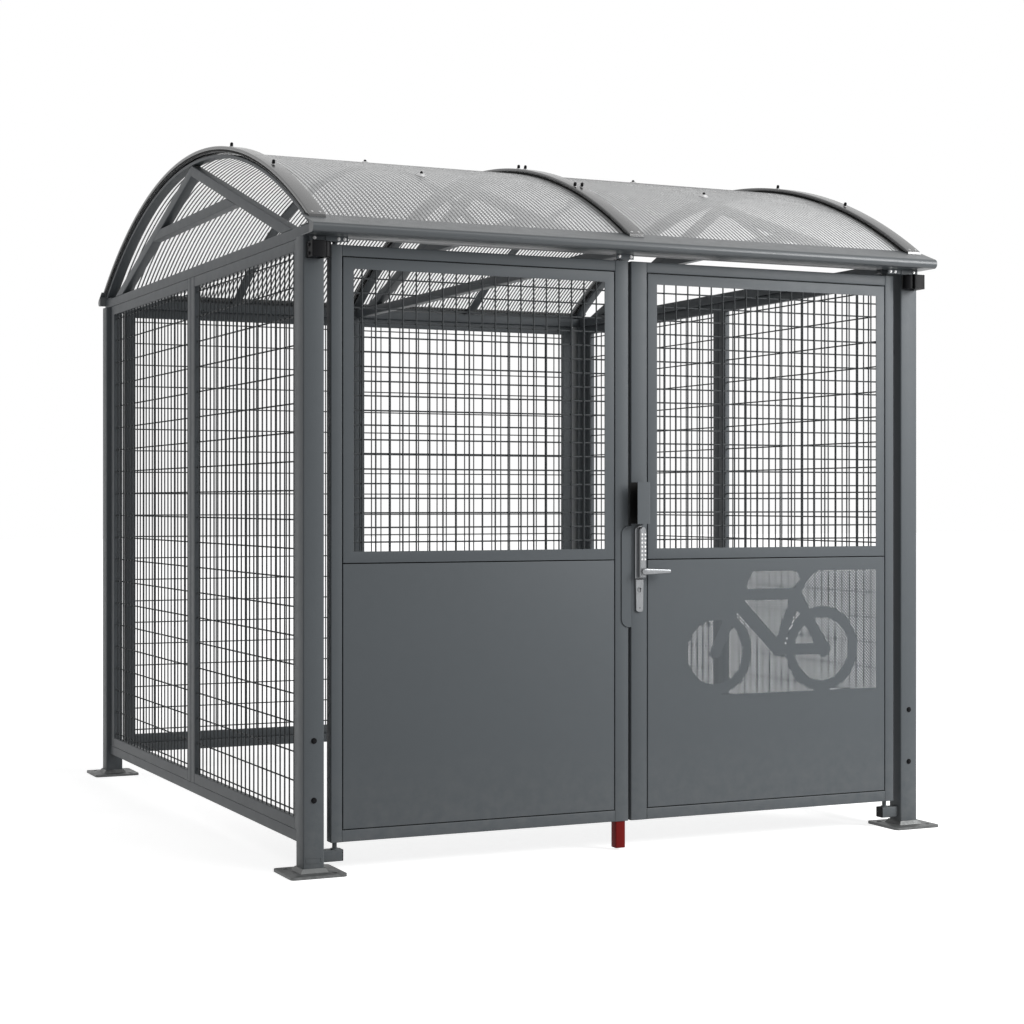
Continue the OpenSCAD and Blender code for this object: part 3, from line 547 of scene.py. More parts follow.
bars = [arch(slab(x - 20, x + 20, ARCH_IN, ARCH_R, 3.0), -60, DEPTH + 60, floor=SEAT_TOP + FIT) for x in TRUSS_X]
middles = [(TRUSS_X[i] + TRUSS_X[i + 1]) / 2 for i in (0, 1)]
bars += [arch(slab(x - 20, x + 20, ARCH_R - 6, ARCH_R, 1.5), -60, DEPTH + 60, floor=SEAT_TOP + FIT) for x in middles]
build("arched_bars", bars, anthracite, "shelter", ["arch_bars"])

caps = [arch(slab(x - 30, x + 30, SEAL_R, ARC_R, 3.5), -37, DEPTH + 37, 96, lift=True) for x in COVER_X]
build("arch_cover_caps", caps, cover_coat, "shelter", ["arch_covers"])
seals = [arch(slab(x - 26, x + 26, SHEET_R, SEAL_R + 0.3, 1.0), -36.5, DEPTH + 36.5, 96, lift=True) for x in COVER_X]
build("arch_cover_seals", seals, seal_and_shade_black, "shelter")

for name, x0, x1 in (("left", 9.5, WIDTH / 2 - 1), ("right", WIDTH / 2 + 1, WIDTH - 9.5)):
    skin = arch(slab(x0, x1, SHEET_R - 2.2, SHEET_R - 0.9, 0.3), -12, DEPTH + 12, 96)
    build("roof_%s_skin" % name, [skin], clear_sheet, "shelter", ["roof_sheet_" + name])
    count = int((x1 - x0 - 8) / RIB_PITCH)
    first = (x0 + x1) / 2 - count * RIB_PITCH / 2
    ribs = []
    for i in range(count + 1):
        x = first + i * RIB_PITCH
        section = [(x - RIB_HALF, SHEET_R - 0.9), (x - 2.4, SHEET_R - FIT), (x + 2.4, SHEET_R - FIT)]
        section += [(x + RIB_HALF, SHEET_R - 0.9), (x + RIB_HALF, SHEET_R - 2.3), (x - RIB_HALF, SHEET_R - 2.3)]
        ribs.append(arch(section, -11, DEPTH + 11, 64))
    build("roof_%s_ribs" % name, ribs, dark_grey_rib, "shelter")


# ---------------------------------------------------------------- eave profiles
def eave(y, z, r, web, floor_to):
    """Folded eave profile carried along X: a floor, a round nose, a sloping flange up to the roof sheet, and a web."""
    a = flange_angle(y, z, r)
    long = math.sqrt((TIP_Z - z) ** 2 + (TIP - y) ** 2 - r * r)
    t = np.linspace(1.5 * math.pi, math.pi / 2 + a, 25)
    outer = np.stack([y + r * np.cos(t), z + r * np.sin(t)], -1)
    inside = np.stack([y + (r - 3) * np.cos(t), z + (r - 3) * np.sin(t)], -1)
    tips = [
        (y + q * math.cos(math.pi / 2 + a) + long * math.cos(a), z + q * math.sin(math.pi / 2 + a) + long * math.sin(a))
        for q in (r, r - 3)
    ]
    section = np.concatenate([[(floor_to, z - r)], outer, tips, inside[::-1], [(floor_to, z - r + 3)]])
    rings = [np.column_stack([np.full(len(section), x), section]) for x in (-7.0, WIDTH + 7.0)]
    top = z + (r - 1.5) / math.cos(a) + (web - 3 - y) * math.tan(a)
    parts = [loft(rings), along_x(-6.5, WIDTH + 6.5, web - 3, web, z - r + 1.5, top, 0.4)]
    shut = np.stack([y + (r - 1.5) * np.cos(t), z + (r - 1.5) * np.sin(t)], -1)
    back = web - 1.5
    shut = np.concatenate([shut, [(back, z + (r - 1.5) / math.cos(a) + (back - y) * math.tan(a)), (back, z - r + 1.5)]])
    for x in (-6.5, WIDTH + 3.5):
        parts.append(loft([np.column_stack([np.full(len(shut), v), shut]) for v in (x, x + 3)]))
    return parts


front = eave(-NOSE_OUT, NOSE_Z, NOSE_R, -74.3, -1)
build("gutter_front_profile", front, gutter_coat, "shelter", ["gutter_front"])
rear = [
    (np.asarray(v) * (1, -1, 1) + (0, DEPTH, 0), f)
    for v, f in eave(-BACK_OUT, POST_TOP + BACK_UP, BACK_R, -20.3, -21.3)
]
build("gutter_back_profile", rear, gutter_coat, "shelter", ["gutter_back"])


# ---------------------------------------------------------------- mesh walls
def wall_frame_y(y0, y1):
    """Frame in a side wall: two upright bars and two level ones."""
    x0, x1 = INSET, INSET + FRAME_DEEP
    return [
        upright(x0, x1, y0, y0 + STILE, WALL_LOW, WALL_HIGH),
        upright(x0, x1, y1 - STILE, y1, WALL_LOW, WALL_HIGH),
        along_y(x0, x1, y0 + STILE, y1 - STILE, WALL_LOW, WALL_LOW + BAR),
        along_y(x0, x1, y0 + STILE, y1 - STILE, WALL_HIGH - BAR, WALL_HIGH),
    ]


side_frames = wall_frame_y(POST + FRAME_GAP, HALF - FIT)
side_frames += wall_frame_y(HALF + FIT, DEPTH - POST - FRAME_GAP)
build("wall_frames_left", side_frames, anthracite, "shelter", ["frame_left"])
build("wall_frames_right", mirrored(side_frames), anthracite, "shelter", ["frame_right"])
y0, y1 = DEPTH - INSET - FRAME_DEEP, DEPTH - INSET
x0, x1 = POST + FRAME_GAP, WIDTH / 2 - FIT
back_half = [
    upright(x0, x0 + STILE, y0, y1, WALL_LOW, WALL_HIGH),
    upright(x1 - BACK_STILE, x1, y0, y1, WALL_LOW, WALL_HIGH),
    along_x(x0 + STILE, x1 - BACK_STILE, y0, y1, WALL_LOW, WALL_LOW + BAR),
    along_x(x0 + STILE, x1 - BACK_STILE, y0, y1, WALL_HIGH - BAR, WALL_HIGH),
]
build("wall_frames_back", back_half + mirrored(back_half), anthracite, "shelter", ["frame_back"])

MESH_LOW, MESH_HIGH = WALL_LOW + BAR + FIT, WALL_HIGH - BAR - FIT
ROWS = np.arange(MESH_LOW + 20.5, MESH_HIGH - 5, WIRE_RISE)


def side_wires(y0, y1):
    """Welded mesh of a side bay: upright wires 50 mm apart and level wires 100 mm apart behind them."""
    y = np.arange(y0 + 22, y1 - 4, WIRE_PITCH)
    x = INSET + WIRE_INSET
    one, nil = np.ones_like(y), np.ones_like(ROWS)
    tall = rods(np.stack([x * one, y, MESH_LOW * one], -1), np.stack([x * one, y, MESH_HIGH * one], -1), WIRE_R)
    x = (x + WIRE_LAYER) * nil
    flat = rods(np.stack([x, y0 * nil, ROWS], -1), np.stack([x, y1 * nil, ROWS], -1), WIRE_R)
    return [tall, flat]


def back_wires(x0, x1):
    """Welded mesh of a back bay, its level wires on the inner side."""
    x = np.arange(x0 + 42.8, x1 - 4, WIRE_PITCH)
    y = DEPTH - INSET - WIRE_INSET
    one, nil = np.ones_like(x), np.ones_like(ROWS)
    tall = rods(np.stack([x, y * one, MESH_LOW * one], -1), np.stack([x, y * one, MESH_HIGH * one], -1), WIRE_R)
    y = (y - WIRE_LAYER) * nil
    flat = rods(np.stack([x0 * nil, y, ROWS], -1), np.stack([x1 * nil, y, ROWS], -1), WIRE_R)
    return [tall, flat]


MESH_EDGE = FRAME_GAP + STILE
for end, y0, y1 in (
    ("front", POST + MESH_EDGE, HALF - STILE - FIT),
    ("back", HALF + STILE + FIT, DEPTH - POST - MESH_EDGE),
):
    wires = side_wires(y0 + FIT, y1 - FIT)
    for side in ("left", "right"):
        nodes = ["mesh_%s_%s_%s" % (side, end, part) for part in ("low", "high")]
        parts = wires if side == "left" else mirrored(wires)
        build("wires_%s_%s" % (side, end), parts, wire_coat, "shelter", nodes, 60)
for side, x0, x1 in (
    ("left", POST + MESH_EDGE, WIDTH / 2 - BACK_STILE - FIT),
    ("right", WIDTH / 2 + BACK_STILE + FIT, WIDTH - POST - MESH_EDGE),
):
    nodes = ["mesh_back_%s_%s" % (side, part) for part in ("low", "high")]
    build("wires_back_" + side, back_wires(x0 + FIT, x1 - FIT), wire_coat, "shelter", nodes, 60)

# ---------------------------------------------------------------- doors
DEEP = 45.0


def door_bars(edge):
    """Left door's frame: two full-height stiles, the lock stile ending at `edge`, and two rails between them."""
    return [
        upright(LEAF_LEFT, LEAF_LEFT + 40, 0, DEEP, DOOR_LOW, DOOR_TOP),
        upright(MEET_LEFT - 60, edge, 0, DEEP, DOOR_LOW, DOOR_TOP),
        along_x(LEAF_LEFT + 40, MEET_LEFT - 60, 0, DEEP, DOOR_LOW, INFILL_LOW),
        along_x(LEAF_LEFT + 40, MEET_LEFT - 60, 0, DEEP, INFILL_TOP, DOOR_TOP),
    ]


def tray(x0, x1, z0, z1):
    """Folded tray: a flat face whose four edges turn back 30 mm round a small bend."""
    profile = [(2, 2), (2, 30), (0, 30)] + bend(2.5)
    return loft(rect_rings(x0, x1, z0, z1, profile))


def window_tray(x0, x1, z0, z1):
    """Folded border round a window: the face runs 39 mm in and ends in a raw edge."""
    profile = [(2, 2), (2, 30), (0, 30)] + bend(2.5) + [(38.3, 0), (39, 0.7), (39, 2)]
    return loft(rect_rings(x0, x1, z0, z1, profile), round_trip=True)


SEAM = 3.0
SX0, SX1 = LEAF_LEFT + 40 + SEAM, MEET_LEFT - 60 - SEAM
window = window_tray(SX0, SX1, SHEET_TOP + SEAM / 2, INFILL_TOP - SEAM)
lower = tray(SX0, SX1, INFILL_LOW + SEAM, SHEET_TOP - SEAM / 2)


def seam_shade_strip(x0, x1, z0, z1):
    """Black strip all round, sunk 7 mm into the groove between a sheet and the frame: painted shade for the dark of the
    groove.
    """
    return loft(rect_rings(x0, x1, z0, z1, [(0, 7), (SEAM + 3, 7), (SEAM + 3, 12), (0, 12)]), round_trip=True)


# the black strips in the door seams are painted shade, standing for the dark of the grooves
strip_x = (LEAF_LEFT + 39.5, MEET_LEFT - 59.5)
strips = [
    seam_shade_strip(*strip_x, SHEET_TOP - SEAM - 1.5, INFILL_TOP + 0.5),
    seam_shade_strip(*strip_x, INFILL_LOW - 0.5, SHEET_TOP + SEAM + 1.5),
]


def door_wires():
    """Welded 50 mm square mesh behind the window's border."""
    x0, x1 = SX0 + 31, SX1 - 31
    z0, z1 = SHEET_TOP + 31, INFILL_TOP - 31
    nx, nz = int((x1 - x0 - 56) // 50), int((z1 - z0 - 46) // 50)
    xs = (x0 + x1) / 2 + (np.arange(nx + 1) - nx / 2) * 50
    zs = (z0 + z1) / 2 + (np.arange(nz + 1) - nz / 2) * 50
    ox, oz = np.ones_like(xs), np.ones_like(zs)
    tall = rods(np.stack([xs, 4.8 * ox, z0 * ox], -1), np.stack([xs, 4.8 * ox, z1 * ox], -1), WIRE_R)
    flat = rods(np.stack([x0 * oz, 9.4 * oz, zs], -1), np.stack([x1 * oz, 9.4 * oz, zs], -1), WIRE_R)
    return [tall, flat]


about = WIDTH - SIDE_SHIFT
build("door_left_tubes", door_bars(MEET_LEFT - 5), anthracite, "door_left", ["door_left_frame"])
right_bars = mirrored(door_bars(MEET_LEFT + 5.8), about)
build("door_right_tubes", right_bars, anthracite, "door_right", ["door_right_frame"])
build("door_left_seam_shade_strips", strips, seal_and_shade_black, "door_left")
build("door_right_seam_shade_strips", mirrored(strips, about), seal_and_shade_black, "door_right")
build("door_left_panels", [window, lower], anthracite, "door_left", ["door_left_sheets"])
right_window = mirrored([window], about)
build("door_right_window_panel", right_window, anthracite, "door_right", ["door_right_sheets"])
build("door_left_wires", door_wires(), wire_coat, "door_left", ["door_left_mesh"], 60)
right_wires = mirrored(door_wires(), about)
build("door_right_wires", right_wires, wire_coat, "door_right", ["door_right_mesh"], 60)


# ---------------------------------------------------------------- pierced panel with a bicycle left solid
def near(x, z, a, b, half_width):
    """True within half_width of the segment from a to b."""
    ax, az = a
    dx, dz = b[0] - ax, b[1] - az
    t = np.clip(((x - ax) * dx + (z - az) * dz) / (dx * dx + dz * dz), 0, 1)
    return np.hypot(x - ax - t * dx, z - az - t * dz) <= half_width


FRONT_HUB, REAR_WHEEL, REAR_HUB, SADDLE, CRANK = (1606, 703), (2076, 703), (2083, 703), (1962, 914), (1880, 704)


def pierced(x, z):
    """Where the panel has holes: right of a sloping edge except on the bicycle, and inside its front wheel."""
    front = np.hypot(x - FRONT_HUB[0], z - FRONT_HUB[1])
    rear = np.hypot(x - REAR_WHEEL[0], z - REAR_WHEEL[1])
    fork = near(x, z, FRONT_HUB, (1715, 914), 23)
    solid = (
        ((front >= 118) & (front <= 158))
        | ((rear >= 120) & (rear <= 160))
        | fork
        | near(x, z, (1733, 914), SADDLE, 21)
        | near(x, z, (1672, 914), (1880, 706), 23.5)
        | near(x, z, (1878, 705), SADDLE, 21)
        | near(x, z, REAR_HUB, (1960, 914), 24)
        | near(x, z, CRANK, (2083, 704), 22)
        | (np.hypot(x - REAR_HUB[0], z - REAR_HUB[1]) <= 30)
        | near(x, z, SADDLE, (1995, 969), 17)
        | ((z >= 966) & (x >= 1955 + (1003 - z) * 0.8) & (x <= 2068 - (1003 - z) * 1.7))
    )
    edge = x > 1770 + (z - 1006) * 30 / 71
    return (edge & ~solid) | ((front < 118) & ~fork)


def pierced_panel(x0, x1, z0, z1):
    """Flat face and back of the right door's lower sheet. The field is laid in courses of 12 by 6 mm bricks, each
    course half a brick on, and a brick with a hole has an eight-sided ring of radius 2.5 mm on each face and a wall
    between them."""
    fx0, fx1, fz0 = 1440.0, 2328.0, 545.0
    rows, cols = 76, int((fx1 - fx0) / 12)
    j, i = np.meshgrid(np.arange(rows), np.arange(cols), indexing="ij")
    cx = fx0 + 6 + i * 12 + (j % 2) * 6
    cz = fz0 + 3 + j * 6
    inside = cx + 6 <= fx1 + 0.1
    hole = pierced(cx, cz) & inside
    parts = []
    a = np.arange(8) * math.pi / 4
    ring = np.stack([2.5 * np.cos(a), 2.5 * np.sin(a)], -1)
    rim = np.array([(6, 0), (6, 3), (0, 3), (-6, 3), (-6, 0), (-6, -3), (0, -3), (6, -3)], float)
    c = np.stack([cx[hole], cz[hole]], -1)[:, None]
    flat = np.concatenate([c + rim, c + ring], 1)
    v = np.stack([np.insert(flat, 1, 0.0, -1), np.insert(flat, 1, 2.0, -1)], 1).reshape(-1, 3)
    k = np.arange(8)
    k1 = (k + 1) % 8
    one = np.concatenate(
        [
            np.stack([k, k1, k1 + 8, k + 8], -1),
            np.stack([k1 + 16, k + 16, k + 24, k1 + 24], -1),
            np.stack([k + 8, k1 + 8, k1 + 24, k + 24], -1),
        ]
    )
    parts.append((v, [(np.arange(len(c))[:, None, None] * 32 + one).reshape(-1, 4)]))

    def plain(bx0, bx1, bz0, bz1):
        """Plain rectangles, face and back."""
        q = np.stack(
            [
                np.stack([bx0, bx0 * 0, bz0], -1),
                np.stack([bx1, bx0 * 0, bz0], -1),
                np.stack([bx1, bx0 * 0, bz1], -1),
                np.stack([bx0, bx0 * 0, bz1], -1),
            ],
            1,
        )
        back = q[:, ::-1] + (0, 2, 0)
        both = np.concatenate([q, back]).reshape(-1, 3)
        return both, [np.arange(len(both)).reshape(-1, 4)]

    runs = []
    for row in range(rows):
        start = fx0
        for x in cx[row][hole[row]]:
            if x - 6 > start + 0.01:
                runs.append((start, x - 6, fz0 + row * 6))
            start = x + 6
        if start < fx1 - 0.01:
            runs.append((start, fx1, fz0 + row * 6))
    runs = np.array(runs)
    parts.append(plain(runs[:, 0], runs[:, 1], runs[:, 2], runs[:, 2] + 6))
    fz1 = fz0 + rows * 6
    edges = np.array(
        [(x0, x1, z0, fz0), (x0, x1, fz1, z1), (x0, fx0, fz0, fz1), (fx1, x1, fz0, fz1)], float
    )
    parts.append(plain(*edges.T))
    return parts


PX0, PX1 = about - SX1, about - SX0
PZ0, PZ1 = INFILL_LOW + SEAM, SHEET_TOP - SEAM / 2
build(
    "door_right_pierced_face",
    pierced_panel(PX0 + 2.5, PX1 - 2.5, PZ0 + 2.5, PZ1 - 2.5),
    anthracite,
    "door_right",
    outward=False,
)
rim = loft(rect_rings(PX0, PX1, PZ0, PZ1, [(2.5, 2), (2, 2), (2, 30), (0, 30)] + bend(2.5)), caps=False)
build("door_right_panel_rim", [rim], anthracite, "door_right")

# ---------------------------------------------------------------- lock, pull and guard plate
r = 30.0
q = np.linspace(0, math.pi / 2, 9)
gx1, gx0, gz0, gz1 = MEET_LEFT + 5.5, MEET_LEFT + 5.5 - 40, 806.0, 1173.0
outline = np.concatenate(
    [
        [(gx1, gz0), (gx1, gz1)],
        np.stack([gx0 + r - r * np.sin(q), gz1 - r + r * np.cos(q)], -1),
        np.stack([gx0 + r - r * np.cos(q), gz0 + r - r * np.sin(q)], -1),
    ]
)
guard = eased_plate(outline, 0, -4, 0.6)
build("guard_plate_sheet", [guard], anthracite, "door_left", ["guard_plate"])

px0, reach, wide, fold, gauge = MEET_RIGHT - 6, 50, 54, 8, 3
PULL_LOW, PULL_HIGH = 1180.0, 1331.0
q = np.linspace(-math.pi / 2, 0, 9)
bend_at = (px0 + (wide - fold), fold - reach)
outer = np.concatenate(
    [
        [(px0, -reach)],
        np.stack([bend_at[0] + fold * np.cos(q), bend_at[1] + fold * np.sin(q)], -1),
        [(px0 + wide, 0), (px0 + 1, 0)],
    ]
)
inner_line = np.concatenate(
    [
        [(px0 + 1, -gauge), (px0 + (wide - gauge), -gauge)],
        np.stack([bend_at[0] + (fold - gauge) * np.cos(q), bend_at[1] + (fold - gauge) * np.sin(q)], -1)[::-1],
        [(px0, gauge - reach)],
    ]
)
section = np.concatenate([outer, inner_line])
rings = [np.column_stack([section, np.full(len(section), z)]) for z in (PULL_LOW, PULL_HIGH)]
build("door_pull_channel", [loft(rings)], anthracite, "door_right", ["pull"])
# black lining that paints the shade inside the channel: it follows the channel's inside, with a lip at its foot, and is
# 0.8 mm thick toward the middle
shade_liner = inner_line + (np.arange(len(inner_line)) == 0)[:, None] * (-6.0, 0.0)
toward_middle = np.clip(-shade_liner[:, 1] - reach / 2, -0.8, 0.8)
shade_liner = np.concatenate([shade_liner, (shade_liner + (-0.8, 0) + np.stack([shade_liner[:, 0] * 0, toward_middle], -1))[::-1]])
rings = [np.column_stack([shade_liner, np.full(len(shade_liner), z)]) for z in (PULL_LOW + 0.5, PULL_HIGH - 0.5)]
build("door_pull_shade_lining", [loft(rings)], seal_and_shade_black, "door_right")


def tongue(x, w, z0, z1, n=20):
    """Outline in the X-Z plane: straight sides and a half circle at the top."""
    a = np.linspace(0, math.pi, n)
    arc = np.stack([x + w / 2 * np.cos(a), z1 - w / 2 + w / 2 * np.sin(a)], -1)
    return np.concatenate([[(x - w / 2, z0), (x + w / 2, z0)], arc])


KEY_X, KEY_LOW, KEY_R, LEVER_Y = LOCK_X - 4, 861, 9, -41
q = np.linspace(0, math.pi / 2, 7)
key_plate = np.concatenate(
    [
        [(KEY_X + 16.5, 979), (KEY_X - 16.5, 979)],
        np.stack([KEY_X - 14.5 + KEY_R - KEY_R * np.cos(q), KEY_LOW + KEY_R - KEY_R * np.sin(q)], -1),
        np.stack([KEY_X + 14.5 - KEY_R + KEY_R * np.sin(q), KEY_LOW + KEY_R - KEY_R * np.cos(q)], -1),
    ]
)
case = [
    eased_plate(tongue(LOCK_X - 4, 37, 981, 1173), 0, -9, 3.0),
    eased_plate(tongue(LOCK_X - 0.5, 27, 985, 1169), -8, -28, 3.5),
    eased_plate(key_plate, 0, -8, 1.6),
    turned((KEY_X, -8, 942), (0, -1, 0), [(9, 0), (9, 2.0), (7.6, 3)]),
    turned((LOCK_X, -27.5, LEVER_Z), (0, -1, 0), [(12, 0), (12, 3), (10.8, 4)]),
]
build("lock_body", case, satin, "door_right", ["lock_case"])
buttons = [
    turned((LOCK_X + dx, -27.8, 1052 + 15 * k), (0, -1, 0), [(4.2, 0), (4.2, 1.6), (3.5, 2.2)], 16)
    for dx in (-6.2, 6.2)
    for k in range(7)
]
build("lock_buttons", buttons, bright_zinc, "door_right")
# the black keyhole marks are painted shade: thin black shapes on the plates standing for the dark inside the holes
keyhole = [
    turned((KEY_X, -10.8, 945), (0, -1, 0), [(3.2, 0), (3.2, 0.5)], 16),
    along_x(KEY_X - 1.6, KEY_X + 1.6, -11.3, -10.8, 932, 945, 0.2),
    turned((KEY_X, -7.8, 875), (0, -1, 0), [(2.2, 0), (2.2, 0.4)], 16),
]
build("lock_keyhole_shade", keyhole, seal_and_shade_black, "door_right")

t = np.concatenate([[-14.0, -12.5, -9.0], np.linspace(-2, 99, 12), [102.0, 104.5, 106.0]])
tall = np.interp(t, [-14, -12.5, -9, -2, 99, 102, 104.5, 106], [4, 13, 20, 24, 15, 13, 9, 3])
thick = np.interp(t, [-14, -12.5, -2, 99, 104.5, 106], [6, 10, 12, 11.5, 9, 5])
rings = []
for along, h, w in zip(t, tall, thick):
    o = rounded(w, h, min(w, h) * 0.42, 4)
    rings.append(np.stack([np.full(len(o), LOCK_X + along), LEVER_Y + o[:, 0], LEVER_Z + o[:, 1]], -1))
spindle = turned((LOCK_X, -36, LEVER_Z), (0, 1, 0), [(9.5, 0), (8, 3), (8, 30)])
build("lever_grip", [loft(rings), spindle], satin, "lever", ["lever_handle"])

# ---------------------------------------------------------------- drop bolt, pivots and head blocks
bolt_bar = upright(BOLT_X - 19, BOLT_X + 19, BOLT_Y - 19, BOLT_Y + 19, 8, 508, 3.0)
pin = turned((BOLT_X, BOLT_Y, 308), (0, 1, 0), [(4, 0), (4, 35), (3.2, 36.5)])
build("drop_bolt_bar", [bolt_bar, pin], red_coat, "drop_bolt", ["drop_bolt"])


def pivots(px):
    """Lower bracket with its upright pin, and upper plate with its pin."""
    return [
        along_x(POST + FIT, POST + FIT + 72, INSET, INSET + BEAM, 38, 78),
        turned((px, PIVOT_Y, 77.5), (0, 0, 1), [(14, 0), (14, 5), (8, 6), (8, 57.5)]),
        along_x(POST + FIT, POST + FIT + 75, INSET, INSET + BEAM, POST_TOP - FIT - 12, POST_TOP - FIT, 1.5),
        turned((px, PIVOT_Y, DOOR_TOP - 30), (0, 0, 1), [(8, 0), (8, 40), (12, 41), (12, 44)]),
    ]


both = pivots(PIVOT_X) + mirrored(pivots(PIVOT_X + SIDE_SHIFT))
build("pivot_bracket_bars", both, anthracite, "shelter", ["pivot_brackets"])
plugs = [along_x(POST + FIT + 71, POST + FIT + 75, INSET + 0.5, INSET + BEAM - 0.5, 38.5, 77.5, 2.0)]
build("pivot_bracket_plugs", plugs + mirrored(plugs), block_black, "shelter")


def head_block():
    """Stop block: a box with eased edges that runs into a round nose beside the door."""
    body = upright(10, 58, -66, 0, 2080, 2135, 4.0)
    nose = turned((62, -31, 2080.0), (0, 0, 1), [(22, 0), (25, 3), (25, 52), (22, 55)], 32)
    return [body, nose]


blocks = head_block() + mirrored(head_block())
build("head_block_bodies", blocks, block_black, "shelter", ["head_blocks"])

# ---------------------------------------------------------------- fixings
heads = []
for x in (38.0, WIDTH - 38.0):
    for z in (253.0, 454.0):
        heads += hex_bolt((x, 0, z), (0, -1, 0), 7, 6, 10)
for z in (2093.0, 2122.0):
    for x, axis in ((10.0, (-1, 0, 0)), (WIDTH - 10.0, (1, 0, 0))):
        heads += hex_bolt((x, -34, z), axis, 5, 5, 8)
build("frame_bolts", heads, block_black, "shelter")

top_plates = [
    along_x(14, 152, -24, -20, POST_TOP - 20, POST_TOP - 1, 0.8),
    along_x(14, 152, -24, -4, POST_TOP - 4, POST_TOP - 1, 0.8),
    along_x(70, 92, -27, -19, POST_TOP - 22, POST_TOP - 1.5, 1.0),
]
hanger = [
    along_x(MEET_LEFT - 56, MEET_LEFT + 14, -6, -2, POST_TOP - 21, POST_TOP - 0.5, 0.8),
    along_x(MEET_LEFT - 56, MEET_LEFT + 14, -6, 26, POST_TOP - 4, POST_TOP - 0.5, 0.8),
]
build("top_bracket_plates", top_plates + mirrored(top_plates) + hanger, anthracite, "shelter")
screws = []
for x in (32.0, 118.0, 140.0):
    for at in (x, WIDTH - x):
        screws += hex_bolt((at, -24, POST_TOP - 11), (0, -1, 0), 4, 4, 6)
for x in (MEET_LEFT - 44.0, MEET_LEFT + 3.0):
    screws += hex_bolt((x, -6, POST_TOP - 11), (0, -1, 0), 4, 4, 6)
build("top_bracket_screws", screws, bright_zinc, "shelter")
outline = [
    along_x(9, 65, -1, 0, 40, 42.5, 0.4),
    along_x(9, 65, -1, 0, 58.5, 61, 0.4),
    upright(9, 11.5, -1, 0, 42.5, 58.5, 0.4),
    upright(62.5, 65, -1, 0, 42.5, 58.5, 0.4),
]
build("post_slot_outline", outline, anthracite, "shelter")


def normal_at(y, r):
    """Point's plane offset and height on the arc of radius r at plane y, with the way out of the roof there."""
    a = math.asin((y - HALF) / r)
    return HALF + r * math.sin(a), ARC_Z + r * math.cos(a), (0, math.sin(a), math.cos(a))


def stud(x, y, r, wide, tall):
    """Capped roof screw: a washer, a neck and a domed cap, square to the arc."""
    py, pz, out = normal_at(y, r)
    a = np.linspace(0, math.pi / 2 * 0.95, 5)
    cap = [(wide, 2.0), (wide, tall - wide)] + [(wide * math.cos(t), tall - wide + wide * math.sin(t)) for t in a]
    return turned((x, py, pz), out, cap, 14)


def washer(x, y, r, wide, tall=2.4):
    """Round sealing washer with a sloping rim, square to the arc."""
    py, pz, out = normal_at(y, r)
    return turned((x, py, pz), out, [(wide, 0), (wide, 1.4), (wide - tall, tall)], 20)


caps, washers = [], []
for x in COVER_X:
    for y in (430.0, 930.0, DEPTH - 930.0, DEPTH - 430.0):
        for dx in (-15.0, 15.0) if x == WIDTH / 2 else (0.0,):
            caps.append(stud(x + dx, y, ARC_R - 0.3, 6.0, 17.0))
            washers.append(washer(x + dx, y, ARC_R - 0.3, 9.0))
    for y in (-22.0, DEPTH + 22.0):
        for dx in (-14.0, 14.0):
            washers.append(washer(x + dx, y, ARC_R - 0.3, 5.0))
for x in middles:
    for y in (525.0, 1110.0, DEPTH - 1110.0, DEPTH - 525.0):
        caps.append(stud(x, y, SHEET_R - FIT, 6.0, 17.0))
        washers.append(washer(x, y, SHEET_R - FIT, 20.0, 9.0))
build("roof_screw_caps", caps, block_black, "shelter")
build("roof_washers", washers, bright_zinc, "shelter")

# ---------------------------------------------------------------- the one piece shown as the frame has it
for s in bpy.data.objects["base_plates"].material_slots:
    s.material = zinc

# ---------------------------------------------------------------- floor, light and camera
def seen_ray(tree):
    """1 for rays from the camera, off a gloss or through a sheet, and 0 for the rest."""
    rays = add(tree, "ShaderNodeLightPath").outputs
    bent = calc(tree, "MAXIMUM", rays["Is Glossy Ray"], rays["Is Transmission Ray"])
    return calc(tree, "MAXIMUM", rays["Is Camera Ray"], bent)


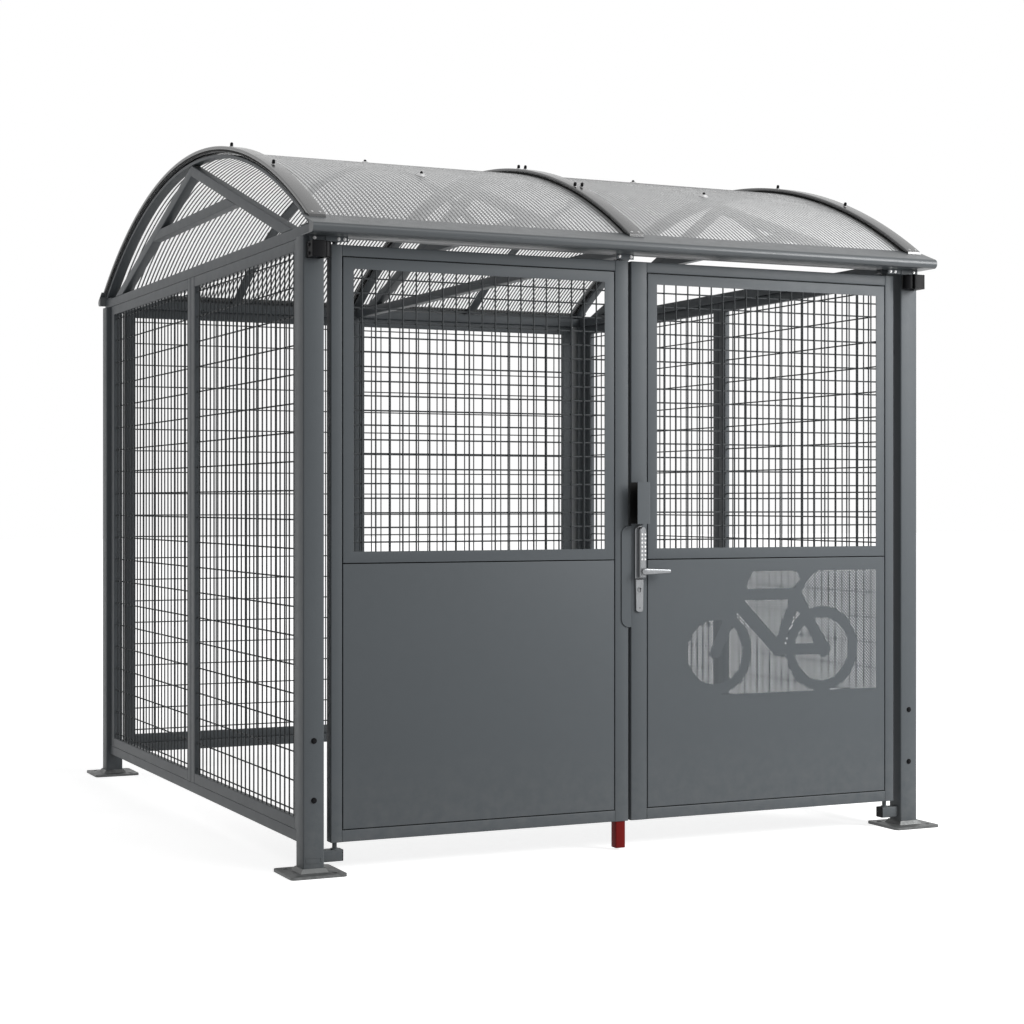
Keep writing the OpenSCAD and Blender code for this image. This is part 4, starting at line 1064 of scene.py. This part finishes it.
scene = bpy.context.scene
scene.view_settings.view_transform = "Standard"
floor_mesh = bpy.data.meshes.new("floor")
floor_mesh.from_pydata([(-60, -60, 0), (60, -60, 0), (60, 60, 0), (-60, 60, 0)], [], [(0, 1, 2, 3)])
floor = bpy.data.objects.new("floor", floor_mesh)
scene.collection.objects.link(floor)
mat = bpy.data.materials.new("floor_white")
mat.use_nodes = True
tree = mat.node_tree
shader = next(n for n in tree.nodes if n.type == "BSDF_PRINCIPLED")
shader.inputs["Base Color"].default_value = (0.7, 0.7, 0.7, 1)
shader.inputs["Roughness"].default_value = 0.9
shader.inputs["Specular IOR Level"].default_value = 0.0
seen = seen_ray(tree)
shader.inputs["Emission Color"].default_value = (1, 1, 1, 1)
tree.links.new(calc(tree, "MULTIPLY", seen, 0.78), shader.inputs["Emission Strength"])
floor_mesh.materials.append(mat)

world = bpy.data.worlds.new("studio")
scene.world = world
world.use_nodes = True
tree = world.node_tree
back = next(n for n in tree.nodes if n.type == "BACKGROUND")
seen = seen_ray(tree)
back.inputs["Color"].default_value = (1, 1, 1, 1)
tree.links.new(calc(tree, "MULTIPLY_ADD", seen, 0.65, 0.35), back.inputs["Strength"])

sun_data = bpy.data.lights.new("key", "SUN")
sun_data.energy = 0.7
sun_data.angle = math.radians(35)
sun = bpy.data.objects.new("key", sun_data)
sun.rotation_euler = (math.radians(48), 0, math.radians(38))
scene.collection.objects.link(sun)

lamp_data = bpy.data.lights.new("side_panel", "AREA")
lamp_data.energy = 185
lamp_data.shape = "DISK"
lamp_data.size = 2.4
lamp = bpy.data.objects.new("side_panel", lamp_data)
lamp.location = (3.2, -4.4, 2.9)
toward = np.array([0.4, -1.2, 1.3]) - np.array(lamp.location)
lamp.rotation_euler = (
    math.atan2(math.hypot(toward[0], toward[1]), -toward[2]),
    0,
    math.atan2(toward[1], toward[0]) - math.pi / 2,
)
scene.collection.objects.link(lamp)

camera_data = bpy.data.cameras.new("camera")
camera_data.sensor_width = 36
camera_data.lens = 70.12
camera_data.shift_x = 0.0182
camera_data.shift_y = -0.0094
camera_data.clip_end = 200
camera = bpy.data.objects.new("camera", camera_data)
camera.location = (-3.4755, -7.74045, 1.2579)
camera.rotation_euler = (math.radians(90), 0, math.radians(-24.669))
scene.collection.objects.link(camera)
scene.camera = camera
